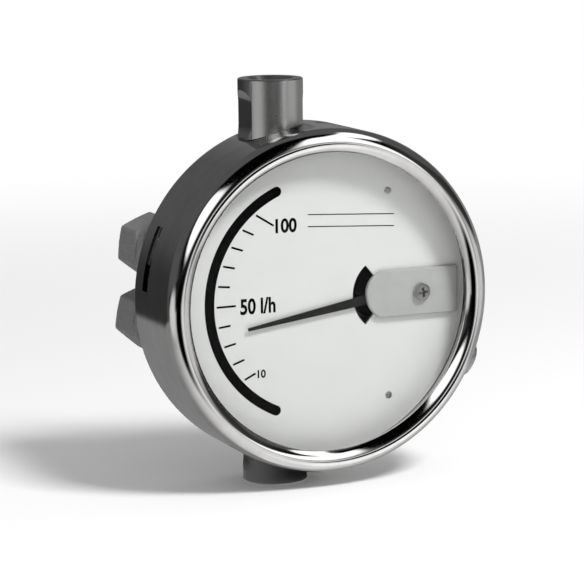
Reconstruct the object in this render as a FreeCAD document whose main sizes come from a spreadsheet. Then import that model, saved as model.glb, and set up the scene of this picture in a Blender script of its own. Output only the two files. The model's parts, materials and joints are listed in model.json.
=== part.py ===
"""Compact metal rotameter with a round dial case: a parametric FreeCAD document.

The meter tube is one turned bar with a threaded port at each end and a conical bore in which the
float rides.  A magnet in the float turns a follower magnet in the round case beside the tube, and
the follower's axle carries the pointer.

Frame: the tube's axis is Z, the mouth of its lower port is the origin and the dial looks to -Y.
Most pieces in the case are drawn in the case's own frame: x to the right and y up as one reads the
dial, z forward from the plane of the tube's axis, so a height along z is called a station.
"""
import FreeCAD, Part
import math
import os
import re

import Sketcher

# ------------------------------------------------------------------ driving dimensions (mm, degrees)
SIZES = {
    # meter tube
    "tube_length": 125.0,
    "tube_radius": 10.0,
    "port_radius": 5.72,
    "port_depth": 12.0,
    "port_chamfer": 1.6,
    "rim_chamfer": 0.3,
    "flat_half_width": 8.4,
    "flat_inset": 7.4,
    "flat_length": 6.4,
    "cutter_radius": 6.0,
    "seat_radius": 5.5,
    "cone_low_radius": 4.3,
    "cone_high_radius": 5.2,
    # float, its magnet and its stops
    "travel": 40.0,
    "reading": 36.0,
    "float_gap": 0.25,
    "float_below": 16.0,
    "float_above": 14.0,
    "float_core_radius": 3.1,
    "float_stem_radius": 1.4,
    "collar_height": 3.0,
    "float_magnet_radius": 2.2,
    "float_magnet_length": 16.0,
    "float_cap_length": 3.0,
    "float_plug_edge": 0.6,
    "collar_land": 0.4,
    "stop_clearance": 0.3,
    "stop_thickness": 4.0,
    "stop_rim": 1.2,
    "stop_hub_radius": 1.6,
    "stop_arm_half_width": 0.7,
    "ring_thickness": 1.0,
    "ring_groove": 0.4,
    "ring_width": 1.2,
    # case
    "case_offset": 11.0,
    "case_height": 57.7,
    "case_radius": 53.0,
    "case_wall": 1.2,
    "case_rounding": 3.6,
    "saddle_floor": 0.8,
    "tube_fit": 0.05,
    "overcut": 1.0,
    "slot_station": -0.5,
    "slot_width": 3.0,
    "slot_angle": 22.0,
    "left_slot": 164.3,
    "top_slot": 74.5,
    "right_slot": -15.0,
    # bezel, window and seals
    "bezel_width": 7.1,
    "flange_width": 2.2,
    "flange_step": 0.5,
    "lip_rounding": 0.8,
    "bezel_crown": 1.5,
    "bezel_rounding": 4.0,
    "bezel_edge": 0.5,
    "bezel_fit": 0.1,
    "spigot_wall": 2.9,
    "spigot_depth": 6.6,
    "glass_thickness": 3.0,
    "glass_gap": 0.3,
    "gasket_thickness": 0.6,
    "gasket_width": 2.2,
    "snap_thickness": 1.1,
    "snap_width": 2.2,
    "snap_groove": 0.8,
    "seal_width": 1.5,
    "lock_inset": 4.4,
    "lock_angle": -25.0,
    "lock_head_radius": 6.0,
    "lock_head_height": 1.5,
    "lock_head_edge": 0.6,
    "lock_shank_radius": 1.5,
    "lock_tip_gap": 0.3,
    # dial and its carrier
    "carrier_clearance": 0.7,
    "dial_recess": 7.5,
    "dial_thickness": 0.8,
    "dial_gap": 0.3,
    "carrier_thickness": 1.0,
    "lug_shift": -4.5,
    "lug_angle": 13.0,
    "leg_thickness": 1.0,
    "rivet_height": 32.1,
    "rivet_head_radius": 1.05,
    "rivet_shank_radius": 0.7,
    "rivet_head_height": 0.4,
    "window_inner": 7.5,
    "window_outer": 12.0,
    "window_half_angle": 51.0,
    "window_gap": 3.0,
    # pointer movement
    "pivot_offset": 22.4,
    "scale_angle": 63.7,
    "pointer_length": 47.9,
    "pointer_tip_half": 0.45,
    "pointer_half": 1.5,
    "pointer_thickness": 0.5,
    "pointer_lift": 0.9,
    "pointer_bend": 8.6,
    "pointer_eye": 0.6,
    "tail_length": 12.0,
    "axle_radius": 0.8,
    "journal_radius": 0.5,
    "bush_floor": 0.4,
    "end_play": 0.15,
    "running_fit": 0.04,
    "hub_radius": 3.0,
    "hub_length": 3.5,
    "arm_gap": 2.5,
    "weight_radius": 2.2,
    "weight_thickness": 2.4,
    "holder_radius": 10.0,
    "holder_wall": 1.0,
    "magnet_length": 5.0,
    "bush_radius": 2.2,
    "bush_length": 2.4,
    "bush_gap": 0.6,
    "bracket_half_height": 16.0,
    "bracket_half_width": 4.0,
    "bracket_thickness": 1.0,
    "bracket_foot": 6.0,
    "bracket_reach": 6.3,
    "small_screw_radius": 1.0,
    "small_head_radius": 1.9,
    "small_head_height": 1.3,
    # bridge over the pivot
    "bridge_gap": 0.7,
    "bridge_thickness": 1.0,
    "bridge_radius": 8.0,
    "bridge_half_width": 7.4,
    "bridge_clearance": 3.2,
    "bridge_screw_offset": 32.9,
    "post_radius": 2.5,
    "post_depth": 1.2,
    "post_flange": 1.0,
    "post_gap": 0.2,
    "bridge_head_radius": 2.65,
    "bridge_head_height": 1.7,
    "bridge_head_edge": 0.7,
    "bridge_shank_radius": 1.25,
    # saddles that hold the tube in the case
    "saddle_height": 32.0,
    "saddle_half_height": 5.0,
    "saddle_half_width": 15.0,
    "saddle_screw_offset": 12.4,
    "saddle_screw_radius": 1.6,
    "saddle_head_radius": 3.2,
    "saddle_head_height": 2.0,
    "saddle_head_edge": 0.8,
    "saddle_screw_depth": 7.0,
    # cable glands
    "gland_inset": 10.8,
    "upper_gland_angle": 161.3,
    "lower_gland_angle": 192.3,
    "upper_gland_turn": -7.5,
    "lower_gland_turn": -11.0,
    "gland_across_flats": 18.0,
    "gland_thread_radius": 7.9,
    "gland_hole_radius": 8.0,
    "gland_bore_radius": 5.0,
    "gland_boss_radius": 9.2,
    "gland_boss_height": 4.0,
    "gland_washer_radius": 8.8,
    "gland_washer_thickness": 1.0,
    "gland_hex_height": 5.0,
    "gland_neck_radius": 7.0,
    "gland_neck_length": 7.0,
    "gland_neck_fit": 0.05,
    "gland_nut_gap": 1.2,
    "gland_nut_length": 15.0,
    "gland_nut_floor": 1.5,
    "gland_nut_edge": 0.3,
    "gland_mouth_radius": 4.2,
    "gland_seal_radius": 5.6,
    "gland_membrane": 1.5,
    "gland_cable_radius": 3.2,
    # terminal board
    "board_inset": 10.3,
    "board_clearance": 2.0,
    "board_screw_depth": 4.0,
    "board_half_height": 24.0,
    "board_gap": 1.1,
    "board_thickness": 1.6,
    "standoff_radius": 2.4,
    "standoff_inset": 3.2,
    "terminal_half_height": 15.0,
    "terminal_half_width": 4.5,
    "terminal_height": 7.0,
    "terminal_screw_depth": 3.0,
    "terminal_ways": 6,
    "terminal_screw_radius": 1.5,
}

# Stations and places that follow from the driving dimensions, as expressions.
DERIVED = {
    "case_inner": "case_radius - case_wall",
    "lip_radius": "case_radius - bezel_width",
    "gland_circle": "case_radius - gland_inset",
    "board_left": "case_inner - board_inset",
    "board_right": "case_offset + tube_radius + board_clearance",
    "bridge_end": "spigot_inner - bridge_clearance",
    "case_floor": "-(tube_radius + saddle_floor)",
    "case_rear": "case_floor - case_wall",
    "dial_front": "tube_radius + carrier_clearance + carrier_thickness + dial_thickness",
    "lip_station": "dial_front + dial_recess",
    "crown_station": "lip_station + bezel_crown",
    "rim_station": "crown_station - bezel_rounding - bezel_edge",
    "lock_station": "rim_station - lock_inset",
    "glass_front": "lip_station - gasket_thickness",
    "glass_back": "glass_front - glass_thickness",
    "spigot_outer": "case_inner - bezel_fit",
    "spigot_inner": "spigot_outer - spigot_wall",
    "spigot_end": "rim_station - spigot_depth",
    "glass_radius": "spigot_inner - glass_gap",
    "dial_back": "dial_front - dial_thickness",
    "dial_radius": "spigot_inner - dial_gap",
    "carrier_back": "dial_back - carrier_thickness",
    "bridge_back": "dial_front + bridge_gap",
    "bridge_front": "bridge_back + bridge_thickness",
    "arm_station": "carrier_back - arm_gap",
    "board_station": "carrier_back - board_gap - terminal_height - board_thickness",
    "bracket_web": "-bracket_reach",
    "rear_bush": "bracket_web - (bush_length - bracket_thickness) / 2",
    "pointer_angle": "(0.5 - reading / 100) * scale_angle",
    "float_middle": "case_height + (reading / 100 - 0.5) * travel",
    "chamber_low": "case_height - travel / 2 - float_below - stop_clearance",
    "chamber_high": "case_height + travel / 2 + float_above + stop_clearance",
    "nut_front": "case_rear - gland_washer_thickness - gland_hex_height - gland_nut_gap",
    "nut_rear": "nut_front - gland_nut_length",
    "neck_end": "case_rear - gland_washer_thickness - gland_hex_height - gland_neck_length",
}

DOCUMENT = FreeCAD.newDocument("rotameter")
SHEET = DOCUMENT.addObject("Spreadsheet::Sheet", "Sizes")
for row, (alias, size) in enumerate(SIZES.items(), start=1):
    SHEET.set(f"A{row}", alias)
    SHEET.set(f"B{row}", str(size))
    SHEET.setAlias(f"B{row}", alias)
DOCUMENT.recompute()

NODES = []
FRONT_TURN = FreeCAD.Rotation(FreeCAD.Vector(1, 0, 0), 90)
FORWARD = FreeCAD.Vector(0, 0, 1)
UPWARD = FreeCAD.Vector(0, 1, 0)


# ------------------------------------------------------------------ expressions
def bound(text):
    """Turn a formula in the names above into an expression on the sheet's cells."""
    def name(match):
        word = match.group(0)
        if word in DERIVED:
            return f"({bound(DERIVED[word])})"
        return f"Sizes.{word}" if word in SIZES else word
    return re.sub(r"[a-z][a-z_]*[a-z]", name, str(text))


def value(text):
    """The number that a formula gives with the sheet as it is."""
    result = SHEET.evalExpression(bound(text))
    return float(getattr(result, "Value", result))


# ------------------------------------------------------------------ bodies and sketches
def body(label, case_frame=False, at=("0", "0"), base=("0", "0", "0"), node=True):
    """A body in the tube's frame at base, or in the case's frame with its origin at (x, y)."""
    made = DOCUMENT.addObject("PartDesign::Body", label)
    made.Label = label
    if case_frame:
        made.Placement = FreeCAD.Placement(FreeCAD.Vector(), FRONT_TURN)
        base = (f"case_offset + ({at[0]})", "0", f"case_height + ({at[1]})")
    for axis, place in zip("xyz", base):
        made.setExpression(f"Placement.Base.{axis}", bound(place))
    if node:
        NODES.append(made)
    return made


def sketch(owner, role, height="0", turn=None, about=FORWARD):
    """A sketch on one of the body's own planes, raised along its normal, and turned if asked."""
    made = owner.newObject("Sketcher::SketchObject", f"{owner.Name}_sketch")
    plane = next(item for item in owner.Origin.OriginFeatures if item.Role == role)
    made.AttachmentSupport = [(plane, "")]
    made.MapMode = "FlatFace"
    if turn is not None:
        made.AttachmentOffset = FreeCAD.Placement(FreeCAD.Vector(), FreeCAD.Rotation(about, 1))
        made.setExpression("AttachmentOffset.Rotation.Angle", bound(turn))
    made.setExpression("AttachmentOffset.Base.z", bound(height))
    return made


def hold(drawing, kind, formula, *where):
    """Add a constraint whose size is a formula on the sheet."""
    index = drawing.addConstraint(Sketcher.Constraint(kind, *where, value(formula)))
    drawing.setExpression(f"Constraints[{index}]", bound(formula))


def outline(drawing, corners):
    """A closed outline. A corner is (x, y), or (x, y, radius) if an arc of that radius leads on to
    the next corner: a positive radius turns left, a negative one right."""
    places = [FreeCAD.Vector(value(corner[0]), value(corner[1]), 0) for corner in corners]
    first = drawing.GeometryCount
    ends = []
    for corner, here, there in zip(corners, places, places[1:] + places[:1]):
        if len(corner) == 2:
            drawing.addGeometry(Part.LineSegment(here, there), False)
            ends.append((1, 2))
            continue
        radius = value(corner[2])
        chord = there - here
        rise = math.sqrt(max(radius ** 2 - chord.Length ** 2 / 4, 0))
        left = FreeCAD.Vector(-chord.y, chord.x, 0).normalize()
        centre = (here + there) / 2 + left * math.copysign(rise, radius)
        start, finish = (here, there) if radius > 0 else (there, here)
        circle = Part.Circle(centre, FORWARD, abs(radius))
        arc = Part.ArcOfCircle(circle, circle.parameter(start), circle.parameter(finish))
        drawing.addGeometry(arc, False)
        ends.append((1, 2) if radius > 0 else (2, 1))
    for index, corner in enumerate(corners):
        item = first + index
        after = (index + 1) % len(corners)
        drawing.addConstraint(
            Sketcher.Constraint("Coincident", item, ends[index][1], first + after, ends[after][0]))
        hold(drawing, "DistanceX", corner[0], -1, 1, item, ends[index][0])
        hold(drawing, "DistanceY", corner[1], -1, 1, item, ends[index][0])
        if len(corner) == 3:
            hold(drawing, "Radius", f"abs({corner[2]})", item)


def circle(drawing, radius, x="0", y="0"):
    centre = FreeCAD.Vector(value(x), value(y), 0)
    item = drawing.addGeometry(Part.Circle(centre, FORWARD, value(radius)), False)
    hold(drawing, "DistanceX", x, -1, 1, item, 3)
    hold(drawing, "DistanceY", y, -1, 1, item, 3)
    hold(drawing, "Radius", radius, item)


def draw(drawing, shapes):
    """Draw each shape: a list of corners, or (radius, x, y) of a circle."""
    for shape in shapes:
        if isinstance(shape, list):
            outline(drawing, shape)
        else:
            circle(drawing, *shape)


def box(left, low, right, high):
    return [(left, low), (right, low), (right, high), (left, high)]


def sector(inner, outer, start, finish, x="0", y="0"):
    """Corners of part of a ring, from the angle start on to finish."""
    def corner(radius, angle):
        return f"({x}) + ({radius}) * cos({angle})", f"({y}) + ({radius}) * sin({angle})"
    return [corner(inner, start), (*corner(outer, start), outer),
            corner(outer, finish), (*corner(inner, finish), f"-({inner})")]


def hexagon(across_flats, turn):
    """Corners of a hexagon, its first corner at the angle turn."""
    reach = f"({across_flats}) / sqrt(3)"
    return [(f"{reach} * cos({turn} + {60 * k})", f"{reach} * sin({turn} + {60 * k})")
            for k in range(6)]


# ------------------------------------------------------------------ features
def settle(feature, grows):
    """Recompute, and stop if the feature has left its body's volume as it was."""
    owner = feature.getParentGeoFeatureGroup()
    before = owner.Shape.Volume if not owner.Shape.isNull() else 0.0
    owner.Tip = feature
    DOCUMENT.recompute()
    change = owner.Shape.Volume - before
    if (change if grows else -change) <= 0:
        raise RuntimeError(f"{feature.Name} leaves {owner.Label} as it was")
    return feature


def pad(owner, shapes, low, high, role="XY_Plane", turn=None):
    """Add the shapes, standing from the height low to the height high over the plane."""
    drawing = sketch(owner, role, low, turn)
    draw(drawing, shapes)
    feature = owner.newObject("PartDesign::Pad", f"{owner.Name}_pad")
    feature.Profile = drawing
    feature.setExpression("Length", bound(f"({high}) - ({low})"))
    return settle(feature, True)


def pocket(owner, shapes, low, high, role="XY_Plane"):
    """Cut the shapes away between two heights over the plane."""
    drawing = sketch(owner, role, high)
    draw(drawing, shapes)
    feature = owner.newObject("PartDesign::Pocket", f"{owner.Name}_pocket")
    feature.Profile = drawing
    feature.setExpression("Length", bound(f"({high}) - ({low})"))
    return settle(feature, False)


def turn_on(owner, corners):
    """Add a ring or a solid of revolution about the body's z axis: corners are (radius, height)."""
    drawing = sketch(owner, "XZ_Plane")
    outline(drawing, corners)
    feature = owner.newObject("PartDesign::Revolution", f"{owner.Name}_turned")
    feature.Profile = drawing
    feature.ReferenceAxis = (drawing, ["V_Axis"])
    return settle(feature, True)


def turn_off(owner, corners):
    """Cut a groove about the body's z axis."""
    drawing = sketch(owner, "XZ_Plane")
    outline(drawing, corners)
    feature = owner.newObject("PartDesign::Groove", f"{owner.Name}_groove")
    feature.Profile = drawing
    feature.ReferenceAxis = (drawing, ["V_Axis"])
    return settle(feature, False)


def repeat(feature, count):
    """Repeat a feature in equal steps about the body's z axis."""
    owner = feature.getParentGeoFeatureGroup()
    pattern = owner.newObject("PartDesign::PolarPattern", f"{owner.Name}_pattern")
    pattern.Originals = [feature]
    pattern.Axis = (next(item for item in owner.Origin.OriginFeatures if item.Role == "Z_Axis"), [""])
    pattern.Angle = 360
    pattern.Occurrences = count
    owner.Tip = pattern
    DOCUMENT.recompute()
    return pattern


def turned(label, corners, **where):
    made = body(label, **where)
    turn_on(made, corners)
    return made


def group(label, members):
    """One node of several like solids."""
    made = DOCUMENT.addObject("Part::Compound", label)
    made.Label = label
    made.Links = members
    NODES.append(made)
    return made


# ------------------------------------------------------------------ meter tube, float and stops
def make_meter_tube():
    """One turned bar: ports and stop seats at its ends, the conical bore between, wrench flats."""
    made = turned("meter_tube", [
        ("port_radius + port_chamfer", "0"),
        ("tube_radius - rim_chamfer", "0"),
        ("tube_radius", "rim_chamfer"),
        ("tube_radius", "tube_length - rim_chamfer"),
        ("tube_radius - rim_chamfer", "tube_length"),
        ("port_radius + port_chamfer", "tube_length"),
        ("port_radius", "tube_length - port_chamfer"),
        ("port_radius", "tube_length - port_depth"),
        ("seat_radius", "tube_length - port_depth"),
        ("seat_radius", "chamber_high"),
        ("cone_high_radius", "chamber_high"),
        ("cone_low_radius", "chamber_low"),
        ("seat_radius", "chamber_low"),
        ("seat_radius", "port_depth"),
        ("port_radius", "port_depth"),
        ("port_radius", "port_chamfer"),
    ])
    inner, outer = "seat_radius - overcut", "seat_radius + ring_groove"
    for low, high in (("chamber_low - stop_thickness - ring_thickness", "chamber_low - stop_thickness"),
                      ("chamber_high + stop_thickness", "chamber_high + stop_thickness + ring_thickness")):
        turn_off(made, box(inner, low, outer, high))
    # A flat is milled from each side of both ends, and the round cutter leaves its run-out.
    reach = "sqrt(cutter_radius^2 - (cutter_radius - (tube_radius + 1 - flat_half_width))^2)"
    for low in ("flat_inset", "tube_length - flat_inset - flat_length"):
        for side in ("", "-"):
            floor, outside = f"{side}flat_half_width", f"{side}(tube_radius + overcut)"
            bend = "-cutter_radius" if side == "" else "cutter_radius"
            pocket(made, [[
                (outside, f"{low} - {reach}", bend),
                (floor, low),
                (floor, f"{low} + flat_length", bend),
                (outside, f"{low} + flat_length + {reach}"),
            ]], "-tube_radius", "tube_radius", role="XZ_Plane")


def make_float():
    """A turned float with a fluted guide collar below and a sharp metering collar on top."""
    middle = ("0", "0", "float_middle")
    guide = "cone_low_radius - float_gap"
    made = turned("float_body", [
        ("0", "-float_below"),
        ("float_stem_radius", "-float_below"),
        ("float_core_radius", "-float_below + float_core_radius - float_stem_radius"),
        ("float_core_radius", "-float_magnet_length / 2 - collar_height"),
        (guide, "-float_magnet_length / 2 - collar_height"),
        (guide, "-float_magnet_length / 2"),
        ("float_core_radius", "-float_magnet_length / 2"),
        ("float_core_radius", "float_magnet_length / 2"),
        (guide, "float_magnet_length / 2 + collar_height"),
        (guide, "float_magnet_length / 2 + collar_height + collar_land"),
        ("float_stem_radius", "float_above"),
        ("0", "float_above"),
    ], base=middle)
    bottom = "-float_magnet_length / 2 - float_cap_length"
    pocket(made, [("float_magnet_radius",)], "-float_below - overcut", "float_magnet_length / 2")
    flute = pocket(made, [("float_stem_radius", "cone_low_radius")],
                   "-float_magnet_length / 2 - collar_height - tube_fit",
                   "-float_magnet_length / 2 + tube_fit")
    repeat(flute, 3)
    magnet = body("float_magnet", base=middle)
    pad(magnet, [("float_magnet_radius",)], "-float_magnet_length / 2", "float_magnet_length / 2")
    turned("float_plug", [
        ("0", "-float_below"),
        ("float_magnet_radius - float_plug_edge", "-float_below"),
        ("float_magnet_radius", "-float_below + float_plug_edge"),
        ("float_magnet_radius", bottom),
        ("float_magnet_radius", "-float_magnet_length / 2"),
        ("0", "-float_magnet_length / 2"),
    ], base=middle)


def make_stop(name, low):
    """A spider that lets the flow by and stops the float, and the snap ring behind it."""
    made = body(f"{name}_float_stop", base=("0", "0", low))
    pad(made, [("seat_radius - tube_fit",)], "0", "stop_thickness")
    pocket(made, [("seat_radius - stop_rim",)], "0", "stop_thickness")
    pad(made, [("stop_hub_radius",)], "0", "stop_thickness")
    arm = pad(made, [box("stop_hub_radius / 2", "-stop_arm_half_width",
                         "seat_radius - stop_rim / 2", "stop_arm_half_width")], "0", "stop_thickness")
    repeat(arm, 3)


def make_snap_ring(name, low):
    made = body(f"{name}_stop_ring", base=("0", "0", low))
    outer = "seat_radius + ring_groove - tube_fit"
    pad(made, [sector(f"{outer} - ring_width", outer, "20", "190"),
               ], "0", "ring_thickness")
    pad(made, [sector(f"{outer} - ring_width", outer, "180", "340")], "0", "ring_thickness")


# ------------------------------------------------------------------ case, bezel and window
SLOTS = ("left_slot", "top_slot", "right_slot")


def gland_place(name):
    return f"gland_circle * cos({name}_gland_angle)", f"gland_circle * sin({name}_gland_angle)"


def bore_wall(owner, radius):
    """The lock screw's hole: from the case's axis outwards through the wall."""
    drawing = sketch(owner, "YZ_Plane", turn="lock_angle", about=UPWARD)
    circle(drawing, radius, "0", "lock_station")
    feature = owner.newObject("PartDesign::Pocket", f"{owner.Name}_pocket")
    feature.Profile = drawing
    feature.Reversed = True
    feature.setExpression("Length", bound("case_radius + overcut"))
    settle(feature, False)


def make_case():
    """A drawn cup, open to the front: holes for the tube, snap slots, glands and screws."""
    made = turned("case", [
        ("0", "case_rear"),
        ("case_radius - case_rounding", "case_rear", "case_rounding"),
        ("case_radius", "case_rear + case_rounding"),
        ("case_radius", "rim_station"),
        ("case_inner", "rim_station"),
        ("case_inner", "case_rear + case_rounding", "-(case_rounding - case_wall)"),
        ("case_radius - case_rounding", "case_floor"),
        ("0", "case_floor"),
    ], case_frame=True)
    places = [gland_place(name) for name in ("upper", "lower")]
    pad(made, [("gland_boss_radius", *place) for place in places],
        "case_rear", "case_floor + gland_boss_height")
    pocket(made, [("gland_hole_radius", *place) for place in places],
           "case_rear - overcut", "case_floor + gland_boss_height + overcut")
    pocket(made, [("tube_radius + tube_fit", "-case_offset", "0")],
           "-case_radius - overcut", "case_radius + overcut", role="XZ_Plane")
    for slot in SLOTS:
        pocket(made, [sector("case_inner - case_wall / 2", "case_radius + overcut",
                             f"{slot} - slot_angle / 2", f"{slot} + slot_angle / 2")],
               "slot_station - slot_width / 2", "slot_station + slot_width / 2")
    pocket(made, [("saddle_screw_radius", *place) for place in saddle_places()],
           "case_rear - overcut", "case_floor + overcut")
    bore_wall(made, "lock_shank_radius + tube_fit")


def make_bezel():
    """The polished front ring: a lip over the glass, a rounded crown and a spigot in the case."""
    groove_floor = "spigot_outer - seal_width + bezel_fit"
    seal_low = "rim_station - seal_width * 2"
    made = turned("bezel", [
        ("spigot_inner", "spigot_end"),
        ("spigot_outer", "spigot_end"),
        ("spigot_outer", seal_low),
        (groove_floor, seal_low),
        (groove_floor, f"{seal_low} + seal_width"),
        ("spigot_outer", f"{seal_low} + seal_width"),
        ("spigot_outer", "rim_station"),
        ("case_radius", "rim_station"),
        ("case_radius", "crown_station - bezel_rounding", "bezel_rounding"),
        ("case_radius - bezel_rounding", "crown_station"),
        ("lip_radius + flange_width + flange_step", "crown_station"),
        ("lip_radius + flange_width", "crown_station - flange_step"),
        ("lip_radius + lip_rounding", "crown_station - flange_step", "lip_rounding"),
        ("lip_radius", "crown_station - flange_step - lip_rounding"),
        ("lip_radius", "lip_station"),
        ("spigot_inner", "lip_station"),
        ("spigot_inner", "glass_back"),
        ("spigot_inner + snap_groove", "glass_back"),
        ("spigot_inner + snap_groove", "glass_back - snap_thickness"),
        ("spigot_inner", "glass_back - snap_thickness"),
    ], case_frame=True)
    bore_wall(made, "lock_shank_radius")
    turned("case_seal", box(groove_floor, f"{seal_low} + tube_fit",
                            "case_inner", f"{seal_low} + seal_width - tube_fit"), case_frame=True)


def make_window():
    window = body("window", case_frame=True)
    pad(window, [("glass_radius",)], "glass_back", "glass_front")
    turned("window_gasket", box("glass_radius - gasket_width", "glass_front",
                                "glass_radius", "lip_station"), case_frame=True)
    ring = body("window_snap_ring", case_frame=True)
    outer = "spigot_inner + snap_groove - tube_fit"
    pad(ring, [sector(f"{outer} - snap_width", outer, "-80", "95")],
        "glass_back - snap_thickness", "glass_back")
    pad(ring, [sector(f"{outer} - snap_width", outer, "90", "262")],
        "glass_back - snap_thickness", "glass_back")


def make_lock_screw():
    """The thumb screw that keeps the bezel in the case: its own z axis points out of the wall."""
    made = body("bezel_lock_screw", base=("case_offset", "-lock_station", "case_height"))
    made.Placement = FreeCAD.Placement(FreeCAD.Vector(), FreeCAD.Rotation(UPWARD, 90))
    made.setExpression("Placement.Rotation.Angle", bound("90 - lock_angle"))
    head = "case_radius + tube_fit"
    turn_on(made, [
        ("0", "spigot_inner + lock_tip_gap"),
        ("lock_shank_radius - running_fit", "spigot_inner + lock_tip_gap"),
        ("lock_shank_radius - running_fit", head),
        ("lock_head_radius - lock_head_edge", head),
        ("lock_head_radius", f"{head} + lock_head_edge"),
        ("lock_head_radius", f"{head} + lock_head_height - lock_head_edge", "lock_head_edge"),
        ("lock_head_radius - lock_head_edge", f"{head} + lock_head_height"),
        ("0", f"{head} + lock_head_height"),
    ])


# ------------------------------------------------------------------ saddles
def saddle_places():
    return [(f"-case_offset + ({side}) * saddle_screw_offset", f"({end}) * saddle_height")
            for end in (1, -1) for side in (1, -1)]


def make_saddles():
    """Blocks that cradle the back of the tube, each drawn up to the case by two screws."""
    for name, end in (("upper", 1), ("lower", -1)):
        made = body(f"{name}_saddle", base=("0", "0", f"case_height + ({end}) * saddle_height"))
        pad(made, [[
            ("saddle_half_width", "0"),
            ("saddle_half_width", "-case_floor"),
            ("-saddle_half_width", "-case_floor"),
            ("-saddle_half_width", "0"),
            ("-(tube_radius + tube_fit)", "0", "-(tube_radius + tube_fit)"),
            ("0", "tube_radius + tube_fit", "-(tube_radius + tube_fit)"),
            ("tube_radius + tube_fit", "0"),
        ]], "-saddle_half_height", "saddle_half_height")
        pocket(made, [(f"saddle_screw_radius", f"({side}) * saddle_screw_offset", "0")
                      for side in (1, -1)],
               "case_floor - overcut", "case_floor + saddle_screw_depth", role="XZ_Plane")
        screws = []
        for place in saddle_places()[:2] if end == 1 else saddle_places()[2:]:
            screw = turned(f"{name}_saddle_screw_{len(screws)}", [
                ("0", "case_rear - saddle_head_height"),
                ("saddle_head_radius - saddle_head_edge", "case_rear - saddle_head_height",
                 "saddle_head_edge"),
                ("saddle_head_radius", "case_rear - saddle_head_height + saddle_head_edge"),
                ("saddle_head_radius", "case_rear"),
                ("saddle_screw_radius", "case_rear"),
                ("saddle_screw_radius", "case_floor + saddle_screw_depth"),
                ("0", "case_floor + saddle_screw_depth"),
            ], case_frame=True, at=place, node=False)
            screws.append(screw)
        group(f"{name}_saddle_screws", screws)


# ------------------------------------------------------------------ dial, carrier and bridge
def make_dial():
    made = body("dial", case_frame=True)
    pad(made, [("dial_radius",)], "dial_back", "dial_front")
    pocket(made, [
        sector("window_inner", "window_outer", "180 - window_half_angle", "180 + window_half_angle",
               "pivot_offset"),
        ("bush_radius + bush_gap", "pivot_offset"),
        ("post_radius + post_gap", "bridge_screw_offset"),
        ("rivet_shank_radius", "pivot_offset", "rivet_height"),
        ("rivet_shank_radius", "pivot_offset", "-rivet_height"),
    ], "dial_back - overcut", "dial_front + overcut")
    rivets = []
    for side in (1, -1):
        rivets.append(turned(f"dial_rivet_{len(rivets)}", [
            ("0", "carrier_back"),
            ("rivet_shank_radius", "carrier_back"),
            ("rivet_shank_radius", "dial_front"),
            ("rivet_head_radius", "dial_front"),
            ("rivet_head_radius", "dial_front + rivet_head_height / 2"),
            ("rivet_head_radius / 2", "dial_front + rivet_head_height"),
            ("0", "dial_front + rivet_head_height"),
        ], case_frame=True, at=("pivot_offset", f"({side}) * rivet_height"), node=False))
    group("dial_rivets", rivets)


def make_carrier():
    """A disc behind the dial, its three legs bent back to lugs that snap into the case's slots."""
    made = body("dial_carrier", case_frame=True)
    pad(made, [("dial_radius",)], "carrier_back", "dial_back")
    low = "slot_station"
    for slot in SLOTS:
        start = f"{slot} + lug_shift - lug_angle / 2"
        finish = f"{slot} + lug_shift + lug_angle / 2"
        pad(made, [sector("dial_radius - leg_thickness", "dial_radius", start, finish)],
            low, "dial_back - carrier_thickness / 2")
        pad(made, [sector("dial_radius - leg_thickness", "case_radius - tube_fit", start, finish)],
            low, f"{low} + leg_thickness")
    pocket(made, [
        sector("window_inner - overcut", "window_outer + overcut", "180 - window_half_angle - window_gap",
               "180 + window_half_angle + window_gap", "pivot_offset"),
        ("bush_radius + bush_gap", "pivot_offset"),
        ("post_radius", "bridge_screw_offset"),
        ("rivet_shank_radius", "pivot_offset", "rivet_height"),
        ("rivet_shank_radius", "pivot_offset", "-rivet_height"),
        ("small_screw_radius", "pivot_offset", "bracket_half_height + bracket_foot / 2"),
        ("small_screw_radius", "pivot_offset", "-(bracket_half_height + bracket_foot / 2)"),
    ], "carrier_back - overcut", "dial_back + overcut")


def make_bridge():
    """The plate over the pivot: round about the pivot, its far end turned down on to the dial."""
    left = "pivot_offset - sqrt(bridge_radius^2 - bridge_half_width^2)"
    made = body("bridge", case_frame=True)
    pad(made, [[
        (left, "-bridge_half_width"),
        ("bridge_end", "-bridge_half_width"),
        ("bridge_end", "bridge_half_width"),
        (left, "bridge_half_width", "bridge_radius"),
    ]], "bridge_back", "bridge_front")
    pad(made, [box("bridge_end - bridge_thickness", "-bridge_half_width",
                   "bridge_end", "bridge_half_width")], "dial_front", "bridge_back + bridge_thickness / 2")
    pocket(made, [("bridge_shank_radius", "bridge_screw_offset")],
           "bridge_back - overcut", "bridge_front + overcut")
    turned("bridge_post", [
        ("bridge_shank_radius", "carrier_back - post_depth"),
        ("post_radius + post_flange", "carrier_back - post_depth"),
        ("post_radius + post_flange", "carrier_back"),
        ("post_radius", "carrier_back"),
        ("post_radius", "bridge_back"),
        ("bridge_shank_radius", "bridge_back"),
    ], case_frame=True, at=("bridge_screw_offset", "0"))
    turned("bridge_screw", [
        ("0", "carrier_back - post_depth"),
        ("bridge_shank_radius", "carrier_back - post_depth"),
        ("bridge_shank_radius", "bridge_front"),
        ("bridge_head_radius", "bridge_front"),
        ("bridge_head_radius", "bridge_front + bridge_head_height - bridge_head_edge",
         "bridge_head_edge"),
        ("bridge_head_radius - bridge_head_edge", "bridge_front + bridge_head_height"),
        ("0", "bridge_front + bridge_head_height"),
    ], case_frame=True, at=("bridge_screw_offset", "0"))


# ------------------------------------------------------------------ pointer movement
PIVOT = ("pivot_offset", "0")


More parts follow.
